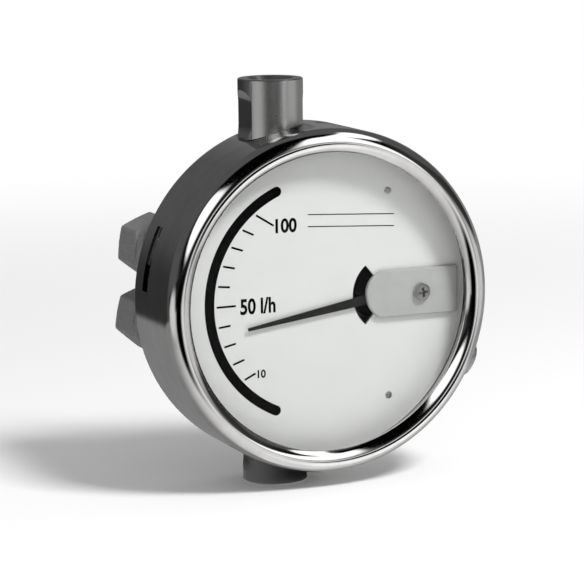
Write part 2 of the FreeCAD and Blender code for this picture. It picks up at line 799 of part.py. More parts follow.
def make_pointer():
    """A strip bent back through the dial's curved window on to an arm, with a tail beyond it."""
    made = body("pointer", case_frame=True, at=PIVOT)
    foot = "arm_station"
    front = "dial_front + pointer_lift"
    pad(made, [box("-(pointer_bend + pointer_thickness)", "-pointer_half",
                   "tail_length", "pointer_half")],
        foot, f"{foot} + pointer_thickness", turn="pointer_angle")
    pad(made, [("hub_radius + pointer_eye",)], foot, f"{foot} + pointer_thickness")
    pad(made, [box("-(pointer_bend + pointer_thickness)", "-pointer_half",
                   "-pointer_bend", "pointer_half")],
        foot, f"{front} + pointer_thickness", turn="pointer_angle")
    pad(made, [[
        ("-pointer_length", "-pointer_tip_half"),
        ("-pointer_bend", "-pointer_half"),
        ("-pointer_bend", "pointer_half"),
        ("-pointer_length", "pointer_tip_half"),
    ]], front, f"{front} + pointer_thickness", turn="pointer_angle")
    pocket(made, [("axle_radius",)], f"{foot} - overcut", f"{foot} + overcut")
    reach = "(tail_length - weight_radius)"
    weight = body("balance_weight", case_frame=True, at=(
        f"pivot_offset + {reach} * cos(pointer_angle)", f"{reach} * sin(pointer_angle)"))
    pad(weight, [("weight_radius",)], f"{foot} - weight_thickness", foot)


def make_axle():
    """The axle between its two bushes, with the hub, the magnet and the magnet's holder."""
    front_shoulder = "bridge_back - bush_length - end_play"
    rear_shoulder = "rear_bush + bush_length + end_play"
    turned("pointer_axle", [
        ("0", "rear_bush"),
        ("journal_radius", "rear_bush"),
        ("journal_radius", rear_shoulder),
        ("axle_radius", rear_shoulder),
        ("axle_radius", front_shoulder),
        ("journal_radius", front_shoulder),
        ("journal_radius", "bridge_back - bush_floor - end_play"),
        ("0", "bridge_back - bush_floor - end_play"),
    ], case_frame=True, at=PIVOT)
    hub = body("pointer_hub", case_frame=True, at=PIVOT)
    pad(hub, [("hub_radius",), ("axle_radius",)], "arm_station - hub_length", "arm_station")
    seat = "-magnet_length / 2"
    bore = "holder_radius - holder_wall"
    turned("magnet_holder", [
        ("axle_radius", f"{seat} - holder_wall"),
        ("holder_radius", f"{seat} - holder_wall"),
        ("holder_radius", "magnet_length / 2 + holder_wall"),
        (bore, "magnet_length / 2 + holder_wall"),
        (bore, seat),
        ("axle_radius", seat),
    ], case_frame=True, at=PIVOT)
    magnet = body("follower_magnet", case_frame=True, at=PIVOT)
    pad(magnet, [(bore,), ("axle_radius",)], seat, "magnet_length / 2")


def make_bearings():
    """A blind bush behind the bridge and an open one in the bracket behind the carrier."""
    hole = "journal_radius + running_fit"
    turned("front_bearing", [
        (hole, "bridge_back - bush_length"),
        ("bush_radius", "bridge_back - bush_length"),
        ("bush_radius", "bridge_back"),
        ("0", "bridge_back"),
        ("0", "bridge_back - bush_floor"),
        (hole, "bridge_back - bush_floor"),
    ], case_frame=True, at=PIVOT)
    turned("rear_bearing", box(hole, "rear_bush", "bush_radius", "rear_bush + bush_length"),
           case_frame=True, at=PIVOT)


def make_bracket():
    """A folded strap: a foot and a leg on each side and the web that holds the rear bush."""
    web = "bracket_web"
    made = body("bearing_bracket", case_frame=True, at=PIVOT)
    pad(made, [box("-bracket_half_width", "-bracket_half_height",
                   "bracket_half_width", "bracket_half_height")], web, f"{web} + bracket_thickness")
    for side in ("", "-"):
        inner = f"{side}(bracket_half_height - bracket_thickness)"
        outer = f"{side}bracket_half_height"
        end = f"{side}(bracket_half_height + bracket_foot)"
        low, high = (inner, outer) if side == "" else (outer, inner)
        pad(made, [box("-bracket_half_width", low, "bracket_half_width", high)],
            f"{web} + bracket_thickness / 2", "carrier_back")
        low, high = (inner, end) if side == "" else (end, inner)
        pad(made, [box("-bracket_half_width", low, "bracket_half_width", high)],
            "carrier_back - bracket_thickness", "carrier_back")
    places = [("small_screw_radius", "0", f"({side}) * (bracket_half_height + bracket_foot / 2)")
              for side in (1, -1)]
    pocket(made, places, "carrier_back - bracket_thickness - overcut", "carrier_back + overcut")
    pocket(made, [("bush_radius",)], f"{web} - overcut", f"{web} + bracket_thickness + overcut")
    screws = []
    for _, x, y in places:
        screws.append(turned(f"bracket_screw_{len(screws)}", [
            ("0", "carrier_back - bracket_thickness - small_head_height"),
            ("small_head_radius", "carrier_back - bracket_thickness - small_head_height"),
            ("small_head_radius", "carrier_back - bracket_thickness"),
            ("small_screw_radius", "carrier_back - bracket_thickness"),
            ("small_screw_radius", "dial_back"),
            ("0", "dial_back"),
        ], case_frame=True, at=("pivot_offset", y), node=False))
    group("bracket_screws", screws)


# ------------------------------------------------------------------ cable glands
def make_gland(name):
    where = {"case_frame": True, "at": gland_place(name)}
    washer_rear = "case_rear - gland_washer_thickness"
    hex_rear = f"{washer_rear} - gland_hex_height"
    fitting = body(f"{name}_gland_body", **where)
    pad(fitting, [("gland_thread_radius",)], washer_rear, "case_floor + gland_boss_height")
    pad(fitting, [hexagon("gland_across_flats", f"30 + {name}_gland_turn")], hex_rear, washer_rear)
    pad(fitting, [("gland_neck_radius",)], "neck_end", hex_rear)
    pocket(fitting, [("gland_bore_radius",)],
           "neck_end - overcut", "case_floor + gland_boss_height + overcut")
    pocket(fitting, [("gland_seal_radius",)], "neck_end - overcut", "neck_end + gland_neck_length / 2")
    turned(f"{name}_gland_washer", box("gland_thread_radius + tube_fit", washer_rear,
                                       "gland_washer_radius", "case_rear"), **where)
    nut = body(f"{name}_gland_nut", **where)
    pad(nut, [hexagon("gland_across_flats", f"90 + {name}_gland_turn")], "nut_rear", "nut_front")
    corner = "gland_across_flats / sqrt(3)"
    slope = f"({corner} + overcut + gland_nut_edge - gland_across_flats / 2) / 2"
    for face, into in (("nut_front", "-"), ("nut_rear", "+")):
        turn_off(nut, [
            ("gland_across_flats / 2 - gland_nut_edge", face),
            (f"{corner} + overcut", face),
            (f"{corner} + overcut", f"{face} {into} {slope}"),
        ])
    pocket(nut, [("gland_neck_radius + gland_neck_fit",)],
           "neck_end - gland_nut_edge", "nut_front + overcut")
    pocket(nut, [("gland_seal_radius",)], "nut_rear + gland_nut_floor", "neck_end")
    pocket(nut, [("gland_mouth_radius",)],
           "nut_rear - overcut", "nut_rear + gland_nut_floor + gland_nut_edge")
    turned(f"{name}_gland_seal", [
        ("0", "neck_end"),
        ("gland_cable_radius", "neck_end"),
        ("gland_cable_radius", "neck_end + gland_neck_length / 2"),
        ("gland_seal_radius", "neck_end + gland_neck_length / 2"),
        ("gland_seal_radius", "nut_rear + gland_nut_floor"),
        ("gland_mouth_radius", "nut_rear + gland_nut_floor"),
        ("gland_cable_radius", "nut_rear + gland_nut_floor / 2"),
        ("gland_cable_radius", "neck_end - gland_membrane"),
        ("0", "neck_end - gland_membrane"),
    ], **where)


# ------------------------------------------------------------------ terminal board
def make_board():
    """The board beside the tube, on three pillars from the case's floor, and its terminal block."""
    board = body("terminal_board", case_frame=True)
    top = "board_station + board_thickness"
    pad(board, [box("-board_left", "-board_half_height", "-board_right", "board_half_height")],
        "board_station", top)
    places = [("-board_right - standoff_inset", "board_half_height - standoff_inset"),
              ("-board_right - standoff_inset", "-board_half_height + standoff_inset"),
              ("-board_left + standoff_inset", "-board_half_height + standoff_inset")]
    pocket(board, [("small_screw_radius", *place) for place in places],
           "board_station - overcut", f"{top} + overcut")
    pillars, screws = [], []
    for place in places:
        where = {"case_frame": True, "at": place, "node": False}
        pillars.append(turned(f"board_pillar_{len(pillars)}", box(
            "small_screw_radius", "case_floor", "standoff_radius", "board_station"), **where))
        screws.append(turned(f"board_screw_{len(screws)}", [
            ("0", "board_station - board_screw_depth"),
            ("small_screw_radius", "board_station - board_screw_depth"),
            ("small_screw_radius", top),
            ("small_head_radius", top),
            ("small_head_radius", f"{top} + small_head_height"),
            ("0", f"{top} + small_head_height"),
        ], **where))
    group("board_pillars", pillars)
    group("board_screws", screws)
    block = body("terminal_block", case_frame=True, at=("-(board_left + board_right) / 2", "0"))
    pad(block, [box("-terminal_half_width", "-terminal_half_height",
                    "terminal_half_width", "terminal_half_height")], top, f"{top} + terminal_height")
    ways = int(value("terminal_ways"))
    step = "2 * terminal_half_height / terminal_ways"
    heights = [f"-terminal_half_height + ({way} + 0.5) * {step}" for way in range(ways)]
    pocket(block, [("terminal_screw_radius", "0", height) for height in heights],
           f"{top} + terminal_height - terminal_screw_depth", f"{top} + terminal_height + overcut")


# ------------------------------------------------------------------ assembly
def make_all():
    make_meter_tube()
    make_float()
    make_stop("lower", "chamber_low - stop_thickness")
    make_stop("upper", "chamber_high")
    make_snap_ring("lower", "chamber_low - stop_thickness - ring_thickness")
    make_snap_ring("upper", "chamber_high + stop_thickness")
    make_case()
    make_bezel()
    make_window()
    make_lock_screw()
    make_saddles()
    make_dial()
    make_carrier()
    make_bridge()
    make_pointer()
    make_axle()
    make_bearings()
    make_bracket()
    make_gland("upper")
    make_gland("lower")
    make_board()


def check_all():
    for item in DOCUMENT.Objects:
        if "Invalid" in item.State or "Error" in item.State:
            raise RuntimeError(f"{item.Label} failed: {item.State}")
    for node in NODES:
        if node.Shape.isNull() or not node.Shape.isValid():
            raise RuntimeError(f"{node.Label} has no valid shape")


make_all()
DOCUMENT.recompute()
check_all()
os.makedirs("parts", exist_ok=True)
for node in NODES:
    node.Shape.exportStep(f"parts/{node.Label}.step")
    print(f"{node.Label:24s} {len(node.Shape.Solids)} solid(s) {node.Shape.Volume / 1000:8.3f} cm3")
print(len(NODES), "nodes")
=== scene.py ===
# %% [markdown]
# # A small rotameter with a round dial
#
# A rotameter shows how fast a liquid flows.  The liquid lifts a float in an upright steel tube, a
# magnet in the float turns a magnet in the round case beside the tube, and that magnet's axle
# carries the pointer.  The solids of every piece are loaded first, as a frame that fixes sizes and
# places.  The cells below then dress what shows: polished and turned steel, a painted dial with its
# scale, a pressed bridge plate, moulded cable glands.

# %% Load the frame
import json
import math

import bmesh
import bpy
import mathutils
import numpy as np
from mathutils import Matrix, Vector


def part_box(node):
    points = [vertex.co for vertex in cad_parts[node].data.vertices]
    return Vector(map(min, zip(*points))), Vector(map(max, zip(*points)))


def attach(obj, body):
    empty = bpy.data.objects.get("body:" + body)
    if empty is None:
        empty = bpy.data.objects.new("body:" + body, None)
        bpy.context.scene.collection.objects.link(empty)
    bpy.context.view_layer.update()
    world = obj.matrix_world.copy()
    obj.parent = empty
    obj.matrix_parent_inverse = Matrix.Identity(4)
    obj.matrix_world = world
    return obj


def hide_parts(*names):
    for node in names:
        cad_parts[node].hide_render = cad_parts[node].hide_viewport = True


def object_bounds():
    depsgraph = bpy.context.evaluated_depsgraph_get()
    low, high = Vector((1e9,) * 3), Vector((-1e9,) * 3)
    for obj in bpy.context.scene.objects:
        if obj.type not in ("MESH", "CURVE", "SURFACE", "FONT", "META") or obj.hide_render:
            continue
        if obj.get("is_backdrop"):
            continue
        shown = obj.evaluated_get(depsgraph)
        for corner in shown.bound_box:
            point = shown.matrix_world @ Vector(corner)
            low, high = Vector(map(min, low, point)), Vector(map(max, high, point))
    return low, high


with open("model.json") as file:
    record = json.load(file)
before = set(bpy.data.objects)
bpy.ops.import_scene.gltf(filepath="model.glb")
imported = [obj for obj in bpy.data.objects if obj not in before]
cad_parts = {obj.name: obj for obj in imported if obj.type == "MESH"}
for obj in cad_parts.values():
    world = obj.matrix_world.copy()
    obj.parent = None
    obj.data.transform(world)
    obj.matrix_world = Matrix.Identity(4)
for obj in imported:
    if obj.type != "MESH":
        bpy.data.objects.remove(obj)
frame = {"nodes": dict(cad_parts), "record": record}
nodes = frame["nodes"]
cad_low, cad_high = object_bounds()
scene = bpy.context.scene

# %% [markdown]
# ## Measures
#
# Lengths are kept in millimetres, as on a drawing, and become metres only when a mesh is filled.
# Two systems are used.  The tube's has its axis as Z.  The dial's is how a reader sees it: x to the
# right, y up, and a *station* that grows towards the reader, which is -Y of the frame.  Wherever a
# length can be read off a loaded piece it is, so a new frame brings the dressing along.

# %% The two systems and what the frame says
MM = 0.001


def corners(node):
    """The lowest and the highest corner of a frame piece, in millimetres."""
    low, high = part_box(node)
    return np.array(low) / MM, np.array(high) / MM


def stations(node):
    """The rearmost and the foremost station of a frame piece."""
    low, high = corners(node)
    return -high[1], -low[1]


window_low, window_high = corners("window")
case_x, case_z = (window_low + window_high)[[0, 2]] / 2
case_rear, rim_station = stations("case")
crown_station = stations("bezel")[1]
dial_front = stations("dial")[1]
glass_front = stations("window")[1]
case_radius = (corners("case")[1] - corners("case")[0])[2] / 2
tube_radius = corners("meter_tube")[1][0]
tube_length = corners("meter_tube")[1][2]
print(f"case axis at x {case_x:.1f}, z {case_z:.1f}; radius {case_radius:.1f}, tube {tube_length:.0f} long")


def in_case(points, x=0.0, y=0.0):
    """Dial coordinates (x, y, station) to the frame's: X = x, Y = -station, Z = y."""
    points = np.asarray(points, float)
    return np.stack([case_x + x + points[..., 0], -points[..., 2], case_z + y + points[..., 1]], -1)


# %% [markdown]
# ## A small language for surfaces
#
# Most pieces of an instrument are turned, pressed or milled, so three things make nearly all of
# them: an outline with rounded corners, the sweep of an outline round an axis, and a plate raised
# from an outline.  Each is worked out as one numpy array of points with no loop over the points,
# then handed to Blender in one go.  The alternative, modelling by operators on primitives, hides
# the sizes, while here each number is one you can find on the real piece.

# %% Outlines with rounded corners
def rounded(outline, steps=8):
    """A closed outline of (x, y) or (x, y, fillet): each fillet is an arc tangent to both sides.
    Its centre lies on the corner's bisector, at fillet / sin(half the corner's angle)."""
    pieces = []
    for k, corner in enumerate(outline):
        here = np.array(corner[:2], float)
        if len(corner) == 2:
            pieces.append(here[None])
            continue
        fillet = corner[2]
        before = np.array(outline[k - 1][:2]) - here
        after = np.array(outline[(k + 1) % len(outline)][:2]) - here
        before /= np.linalg.norm(before)
        after /= np.linalg.norm(after)
        half = math.acos(before @ after) / 2
        bisector = (before + after) / np.linalg.norm(before + after)
        centre = here + bisector * fillet / math.sin(half)
        start = here + before * fillet / math.tan(half) - centre
        finish = here + after * fillet / math.tan(half) - centre
        sweep = math.pi - 2 * half
        t = np.linspace(0, 1, steps + 1)[:, None]
        arc = np.sin((1 - t) * sweep) * start + np.sin(t * sweep) * finish
        pieces.append(centre + arc / math.sin(sweep))
    return np.vstack(pieces)


def grid_faces(rows, columns, close_rows=True):
    """Quads between the points of a grid whose columns run round and close on themselves."""
    index = np.arange(rows * columns).reshape(rows, columns)
    index = np.hstack([index, index[:, :1]])
    if close_rows:
        index = np.vstack([index, index[:1]])
    quads = [index[:-1, :-1], index[1:, :-1], index[1:, 1:], index[:-1, 1:]]
    return np.stack(quads, -1).reshape(-1, 4)


# %% Turned surfaces
def lathe(profile, steps=256, shape=None):
    """Turn a closed profile of (radius, height) about an axis: x = r cos t, y = r sin t, z = height.
    shape(radius, height, t) may change the radius, for flats, knurls and threads."""
    radius, height = np.asarray(profile, float).T[:, :, None]
    t = np.linspace(0, 2 * math.pi, steps, endpoint=False)
    if shape:
        radius = shape(radius, height, t)
    points = np.stack(np.broadcast_arrays(radius * np.cos(t), radius * np.sin(t), height), -1)
    return points.reshape(-1, 3), grid_faces(len(profile), steps)


# %% Plates
def plate(outline, low, high, bevel=0.0, steps=4):
    """Raise an outline from low to high.  The upper edge is a quarter round: at the angle a the
    outline has moved inwards by bevel (1 - cos a), along its own normal, and up by bevel sin a."""
    ring = np.asarray(outline, float)
    along = np.roll(ring, -1, 0) - np.roll(ring, 1, 0)
    inwards = np.stack([-along[:, 1], along[:, 0]], 1) / np.linalg.norm(along, axis=1)[:, None]
    a = np.linspace(0, math.pi / 2, steps + 1) if bevel else np.zeros(1)
    moved = ring + inwards * (bevel * (1 - np.cos(a)))[:, None, None]
    levels = np.concatenate([[low], high - bevel + bevel * np.sin(a)])
    rings = np.concatenate([ring[None], moved])
    points = np.concatenate([rings, np.broadcast_to(levels[:, None, None], (*rings.shape[:2], 1))], -1)
    count = len(ring)
    sides = grid_faces(len(levels), count, close_rows=False).tolist()
    floor = list(range(count))[::-1]
    top = list(range((len(levels) - 1) * count, len(levels) * count))
    return points.reshape(-1, 3), sides + [floor, top]


# %% Pieces
scene_finishes = {}


def shade(mesh, sharp=32):
    """Smooth shading with the edges kept crisp that turn by more than sharp degrees."""
    mesh.shade_smooth()
    mesh.set_sharp_from_angle(angle=math.radians(sharp))


def fill(name, points, faces):
    """A closed mesh with its doubles merged, so poles and seams close, and its faces outwards."""
    mesh = bpy.data.meshes.new(name)
    mesh.from_pydata((np.asarray(points) * MM).tolist(), [], [list(face) for face in faces])
    solid = bmesh.new()
    solid.from_mesh(mesh)
    bmesh.ops.remove_doubles(solid, verts=solid.verts, dist=1e-7)
    bmesh.ops.recalc_face_normals(solid, faces=solid.faces)
    solid.to_mesh(mesh)
    solid.free()
    shade(mesh)
    made = bpy.data.objects.new(name, mesh)
    scene.collection.objects.link(made)
    return made


def piece(name, points, faces, finish, slot, body="housing", replaces=()):
    """A finished piece that rides on a body and may stand for pieces of the frame."""
    made = fill(name, points, faces)
    made.data.materials.append(finish)
    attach(made, body)
    if replaces:
        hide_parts(*replaces)
    span = [round(side / MM, 1) for side in made.dimensions]
    print(f"{name}: {len(made.data.polygons)} faces, {span} mm")
    return made


def cut(made, tools):
    """Take the tools' volumes away from a piece and keep the result as its mesh."""
    for tool in tools:
        change = made.modifiers.new("cut", "BOOLEAN")
        change.solver = "EXACT"
        change.object = tool
    bpy.context.view_layer.update()
    evaluated = made.evaluated_get(bpy.context.evaluated_depsgraph_get())
    made.data = bpy.data.meshes.new_from_object(evaluated)
    made.modifiers.clear()
    for tool in tools:
        bpy.data.objects.remove(tool)
    shade(made.data)
    print(f"{made.name}: {len(made.data.polygons)} faces after {len(tools)} cuts")


# %% [markdown]
# ## Shader maths as Python
#
# A finish is a handful of noises and bands that nudge colour, roughness and bump.  Written with
# nodes alone such sums are hard to read, so a small class wraps a socket and lets + - * / build the
# Math nodes.  Patterns read Object coordinates, in metres, so they stay on the metal when the
# object is moved, and a scale of 1000 gives features of about a millimetre.

# %% Sockets that can be added and multiplied
class Signal:
    """The output of a node, with arithmetic."""

    def __init__(self, tree, socket):
        self.tree = tree
        self.socket = socket

    def math(self, operation, *values):
        return self.tree.node("ShaderNodeMath", {"operation": operation}, values)

    def __add__(self, other):
        return self.math("ADD", self, other)

    def __mul__(self, other):
        return self.math("MULTIPLY", self, other)

    def __sub__(self, other):
        return self.math("SUBTRACT", self, other)

    def __rsub__(self, other):
        return self.math("SUBTRACT", other, self)

    def __truediv__(self, other):
        return self.math("DIVIDE", self, other)

    __radd__ = __add__
    __rmul__ = __mul__

    def bell(self, centre, width):
        """1 at the centre, falling to 0 at the distance width on either side."""
        return 1 - self.math("ABSOLUTE", self - centre).step(0, width)

    def step(self, low, high):
        """0 below low, 1 above high, smooth between."""
        return self.tree.node("ShaderNodeMapRange", {"interpolation_type": "SMOOTHSTEP"},
                              {"Value": self, "From Min": low, "From Max": high})


class Tree:
    """A node tree, and the methods that add to it."""

    def __init__(self, owner):
        owner.use_nodes = True
        self.links = owner.node_tree.links
        self.nodes = owner.node_tree.nodes
        self.nodes.clear()

    def node(self, kind, settings=None, inputs=(), output=0):
        """Add a node.  A Signal among the inputs is linked, and anything else is set on the socket."""
        made = self.nodes.new(kind)
        for name, setting in (settings or {}).items():
            setattr(made, name, setting)
        for key, entry in (inputs.items() if isinstance(inputs, dict) else enumerate(inputs)):
            if isinstance(entry, Signal):
                self.links.new(entry.socket, made.inputs[key])
            else:
                made.inputs[key].default_value = entry
        return Signal(self, made.outputs[output]) if made.outputs else None

    def place(self):
        return self.node("ShaderNodeTexCoord", output="Object")

    def noise(self, scale, stretch=(1, 1, 1), detail=3.0):
        """Noise around 0.5.  stretch below 1 draws it out along an axis."""
        where = self.node("ShaderNodeMapping", None, {"Vector": self.place(), "Scale": stretch})
        return self.node("ShaderNodeTexNoise", None, {"Vector": where, "Scale": scale, "Detail": detail})

    def mix(self, mask, low, high):
        return self.node("ShaderNodeMix", {"data_type": "RGBA"}, {0: mask, 6: low, 7: high}, output=2)

    def bump(self, height, distance):
        """distance is how far a height of 1 stands out, in metres."""
        return self.node("ShaderNodeBump", None, {"Strength": 1.0, "Distance": distance, "Height": height})


def grey(level, warm=0.0):
    """A linear grey, leaning to warm or to blue."""
    return (level * (1 + warm), level, level * (1 - warm), 1)


# %% One recipe for every finish
def finish(name, colour, roughness, metallic=0.0, mottle=0.1, mottle_scale=300,
           grain=None, depth=0.0, **more):
    """A Principled material: mottle varies colour and roughness a little, grain(tree) is a height
    map whose unit stands depth metres out, and more goes to the shader's own sockets."""
    made = bpy.data.materials.new(name)
    tree = Tree(made)
    cloud = tree.noise(mottle_scale)
    dark = tuple(channel * (1 - mottle) for channel in colour[:3]) + (1,)
    light = tuple(min(channel * (1 + mottle), 1) for channel in colour[:3]) + (1,)
    inputs = {
        "Base Color": tree.mix(cloud.step(0.3, 0.7), dark, light),
        "Roughness": roughness + (cloud - 0.5) * (roughness * mottle * 4),
        "Metallic": metallic,
        **{key.replace("_", " "): entry for key, entry in more.items()},
    }
    if grain:
        inputs["Normal"] = tree.bump(grain(tree), depth)
    shader = tree.node("ShaderNodeBsdfPrincipled", None, inputs)
    tree.node("ShaderNodeOutputMaterial", None, {"Surface": shader})
    scene_finishes[name] = made
    return made

# %% [markdown]
# ## Metals
#
# Polished steel has hardly any texture: what one sees is the room, drawn out along the curve, so
# its recipe is a low roughness with the faint cloudiness that a buffing wheel leaves.  The case is
# drawn from darker sheet and only brightened.  The tube comes off a lathe, and the fine rings of
# the cutting tool run round it, so its grain is noise squeezed along the axis: many changes along
# Z, few across it.  The rings are a few hundredths of a millimetre deep at most.

# %% Metal finishes
polished = finish("polished_steel", grey(0.84, 0.01), 0.07, 1.0, mottle=0.04, mottle_scale=260)
drawn = finish("drawn_steel", grey(0.82, 0.01), 0.10, 1.0, mottle=0.05, mottle_scale=140)
turned_steel = finish("turned_steel", grey(0.60, 0.01), 0.27, 1.0, mottle=0.02, mottle_scale=200,
                      grain=lambda tree: tree.noise(3500, (0.004, 0.004, 1)), depth=1.5e-6)
machined = finish("machined_steel", grey(0.55, 0.01), 0.32, 1.0,
                  grain=lambda tree: tree.noise(5000, (0.1, 1, 0.1)), depth=3e-6)
screw_steel = finish("screw_steel", grey(0.55, 0.01), 0.46, 1.0, mottle=0.10, mottle_scale=900)
sheet_metal = finish("rolled_sheet", grey(0.62, 0.0), 0.34, 1.0,
                     grain=lambda tree: tree.noise(4000, (0.04, 1, 1)), depth=2e-6)
brass = finish("turned_brass", (0.66, 0.45, 0.18, 1), 0.30, 1.0, mottle_scale=500)
magnet = finish("sintered_magnet", grey(0.06), 0.45, 0.6, mottle=0.3, mottle_scale=2500)
print(sorted(scene_finishes))

# %% [markdown]
# ## Paint, plastic and rubber
#
# The dial is sheet aluminium under a satin white paint with a very slight orange peel.  The bridge
# plate over the pivot is anodised: matt, grey, with the faint grain of the sheet along its length.
# The glands are moulded in grey polyamide, whose skin copies the spark-eroded mould, a fine even
# roughness.  Rubber is nearly black and does not shine.

# %% Coloured finishes
dial_paint = finish("dial_paint", grey(0.74, 0.004), 0.42, mottle=0.012, mottle_scale=120,
                    grain=lambda tree: tree.noise(1600), depth=4e-6, Specular_IOR_Level=0.3)
print_ink = finish("print_ink", grey(0.004), 0.55, mottle=0.2, mottle_scale=900,
                   Specular_IOR_Level=0.0)
anodised = finish("anodised_sheet", grey(0.50), 0.48, 0.15, mottle=0.03, mottle_scale=200,
                  grain=lambda tree: tree.noise(5000, (0.05, 1, 1)), depth=3e-6)
pointer_paint = finish("pointer_paint", grey(0.018), 0.40, mottle=0.2, mottle_scale=700,
                       Specular_IOR_Level=0.2)
polyamide = finish("grey_polyamide", grey(0.20), 0.46, mottle=0.08, mottle_scale=500,
                   grain=lambda tree: tree.noise(5200, detail=1.0), depth=1.2e-5)
rubber = finish("black_rubber", grey(0.02), 0.75, mottle=0.25, mottle_scale=800,
                grain=lambda tree: tree.noise(3000), depth=1e-5)
laminate = finish("board_laminate", (0.02, 0.11, 0.05, 1), 0.35, mottle=0.12, mottle_scale=900)
terminal_plastic = finish("terminal_plastic", grey(0.42), 0.5, mottle_scale=600)
print(len(scene_finishes), "finishes")

# %% [markdown]
# ## Window glass
#
# A flat pane is clear from the front and only mirrors a little, more at a grazing angle.  A true
# refracting shader would put the dial in shadow, because light cannot be sampled through it, so
# the pane lets light straight through and a Fresnel factor of a few percent adds the gloss.

# %% Glass
glass = bpy.data.materials.new("window_glass")
tree = Tree(glass)
clear = tree.node("ShaderNodeBsdfTransparent", None, {"Color": (0.985, 0.99, 0.985, 1)})
gloss = tree.node("ShaderNodeBsdfPrincipled", None,
                  {"Base Color": (0.9, 0.9, 0.9, 1), "Metallic": 1.0, "Roughness": 0.03})
share = tree.node("ShaderNodeFresnel", None, {"IOR": 1.12})
pane = tree.node("ShaderNodeMixShader", None, [share, clear, gloss])
tree.node("ShaderNodeOutputMaterial", None, {"Surface": pane})
glass.surface_render_method = "BLENDED"
print(glass.name)

# %% [markdown]
# ## Paint the frame's own pieces
#
# Pieces that are flat, or that hide inside, are right as they were loaded and only need a finish.

# %% Finishes by the record's slots
by_slot = {
    "tube_steel": turned_steel, "inner_steel": machined, "case_steel": drawn, "bezel_steel": polished,
    "magnet": magnet, "seal_rubber": rubber, "window_glass": glass, "screw_steel": screw_steel,
    "dial_white": dial_paint, "carrier_sheet": sheet_metal, "bridge_sheet": anodised,
    "pointer_black": pointer_paint, "brass": brass, "holder": sheet_metal, "gland_plastic": polyamide,
    "board": laminate, "terminal": terminal_plastic,
}
for entry in frame["record"]["subparts"]:
    mesh = nodes[entry["node"]].data
    mesh.materials.clear()
    mesh.materials.append(by_slot[entry["material_slot"]])

# %% [markdown]
# ## The bezel
#
# The ring over the window is turned from one bar, and its front is one polished half round that
# falls to the wall outside and to the lip inside.  A round draws the whole room into thin black and
# white bands, so it is sampled finely: middle + radius (sin t, cos t), with t the angle from the
# front.

# %% Bezel
BEZEL_WALL = 7.1
ROUND = 4.0
SEAM = 0.01
SPIGOT = (2.9, 5.8)
lip = case_radius - BEZEL_WALL
spigot_rear = stations("bezel")[0]
middle = np.array([case_radius - ROUND, crown_station - ROUND])
inner_end = math.asin((lip - middle[0]) / ROUND)
turn = np.linspace(math.pi / 2, inner_end, 65)
half_round = middle + ROUND * np.stack([np.sin(turn), np.cos(turn)], 1)
bezel_profile = np.vstack([
    [[case_radius, rim_station + SEAM]], half_round,
    [[lip, glass_front], [lip + SPIGOT[0], glass_front], [lip + SPIGOT[0], spigot_rear],
     [lip + SPIGOT[1], spigot_rear], [lip + SPIGOT[1], rim_station + SEAM]],
])
points, faces = lathe(bezel_profile, 360)
piece("bezel_ring", in_case(points), faces, polished, "bezel_steel", replaces=["bezel"])

# %% [markdown]
# ## The case
#
# A cup drawn from sheet, with a soft corner at the rear.  Three slots in its wall take the lugs of
# the dial's carrier, and the meter tube passes right through.  Holes like these have no place in a
# grid of rings and meridians, so they are cut out of the turned cup with tools of the same kind.
# Afterwards the wall's normals are set from the formula of a cylinder, the unit vector away from
# the axis, because a polished wall shows every wrong normal beside a cut.

# %% Case wall and its holes
CASE_WALL = 1.2
REAR_ROUND = 3.6
SLOT_ANGLES = (164.3, 74.5, -15.0)
SLOT_SPAN = 22.0
SLOT_STATION = -0.5
SLOT_WIDTH = 4.2
TUBE_GAP = 0.05
OVERCUT = 1.0


def sector(inner, outer, start, finish, count=25):
    """Outline of part of a ring between two angles in degrees."""
    angle = np.radians(np.linspace(start, finish, count))
    arc = np.stack([np.cos(angle), np.sin(angle)], 1)
    return np.vstack([outer * arc, inner * arc[::-1]])


cup_profile = rounded([
    (0, case_rear),
    (case_radius, case_rear, REAR_ROUND),
    (case_radius, rim_station - SEAM),
    (case_radius - CASE_WALL, rim_station - SEAM),
    (case_radius - CASE_WALL, case_rear + CASE_WALL, REAR_ROUND - CASE_WALL),
    (0, case_rear + CASE_WALL),
], steps=10)
points, faces = lathe(cup_profile, 360)
case = piece("case_cup", in_case(points), faces, drawn, "case_steel", replaces=["case"])

tools = []
for angle in SLOT_ANGLES:
    slit = sector(case_radius - 2 * CASE_WALL, case_radius + OVERCUT,
                  angle - SLOT_SPAN / 2, angle + SLOT_SPAN / 2)
    points, faces = plate(slit, SLOT_STATION - SLOT_WIDTH / 2, SLOT_STATION + SLOT_WIDTH / 2)
    tools.append(fill("slot_tool", in_case(points), faces))
clearance = tube_radius + TUBE_GAP
reach = case_radius + 2 * OVERCUT
bar = [(0, case_z - reach), (clearance, case_z - reach), (clearance, case_z + reach), (0, case_z + reach)]
tools.append(fill("tube_tool", *lathe(bar, 180)))
cut(case, tools)


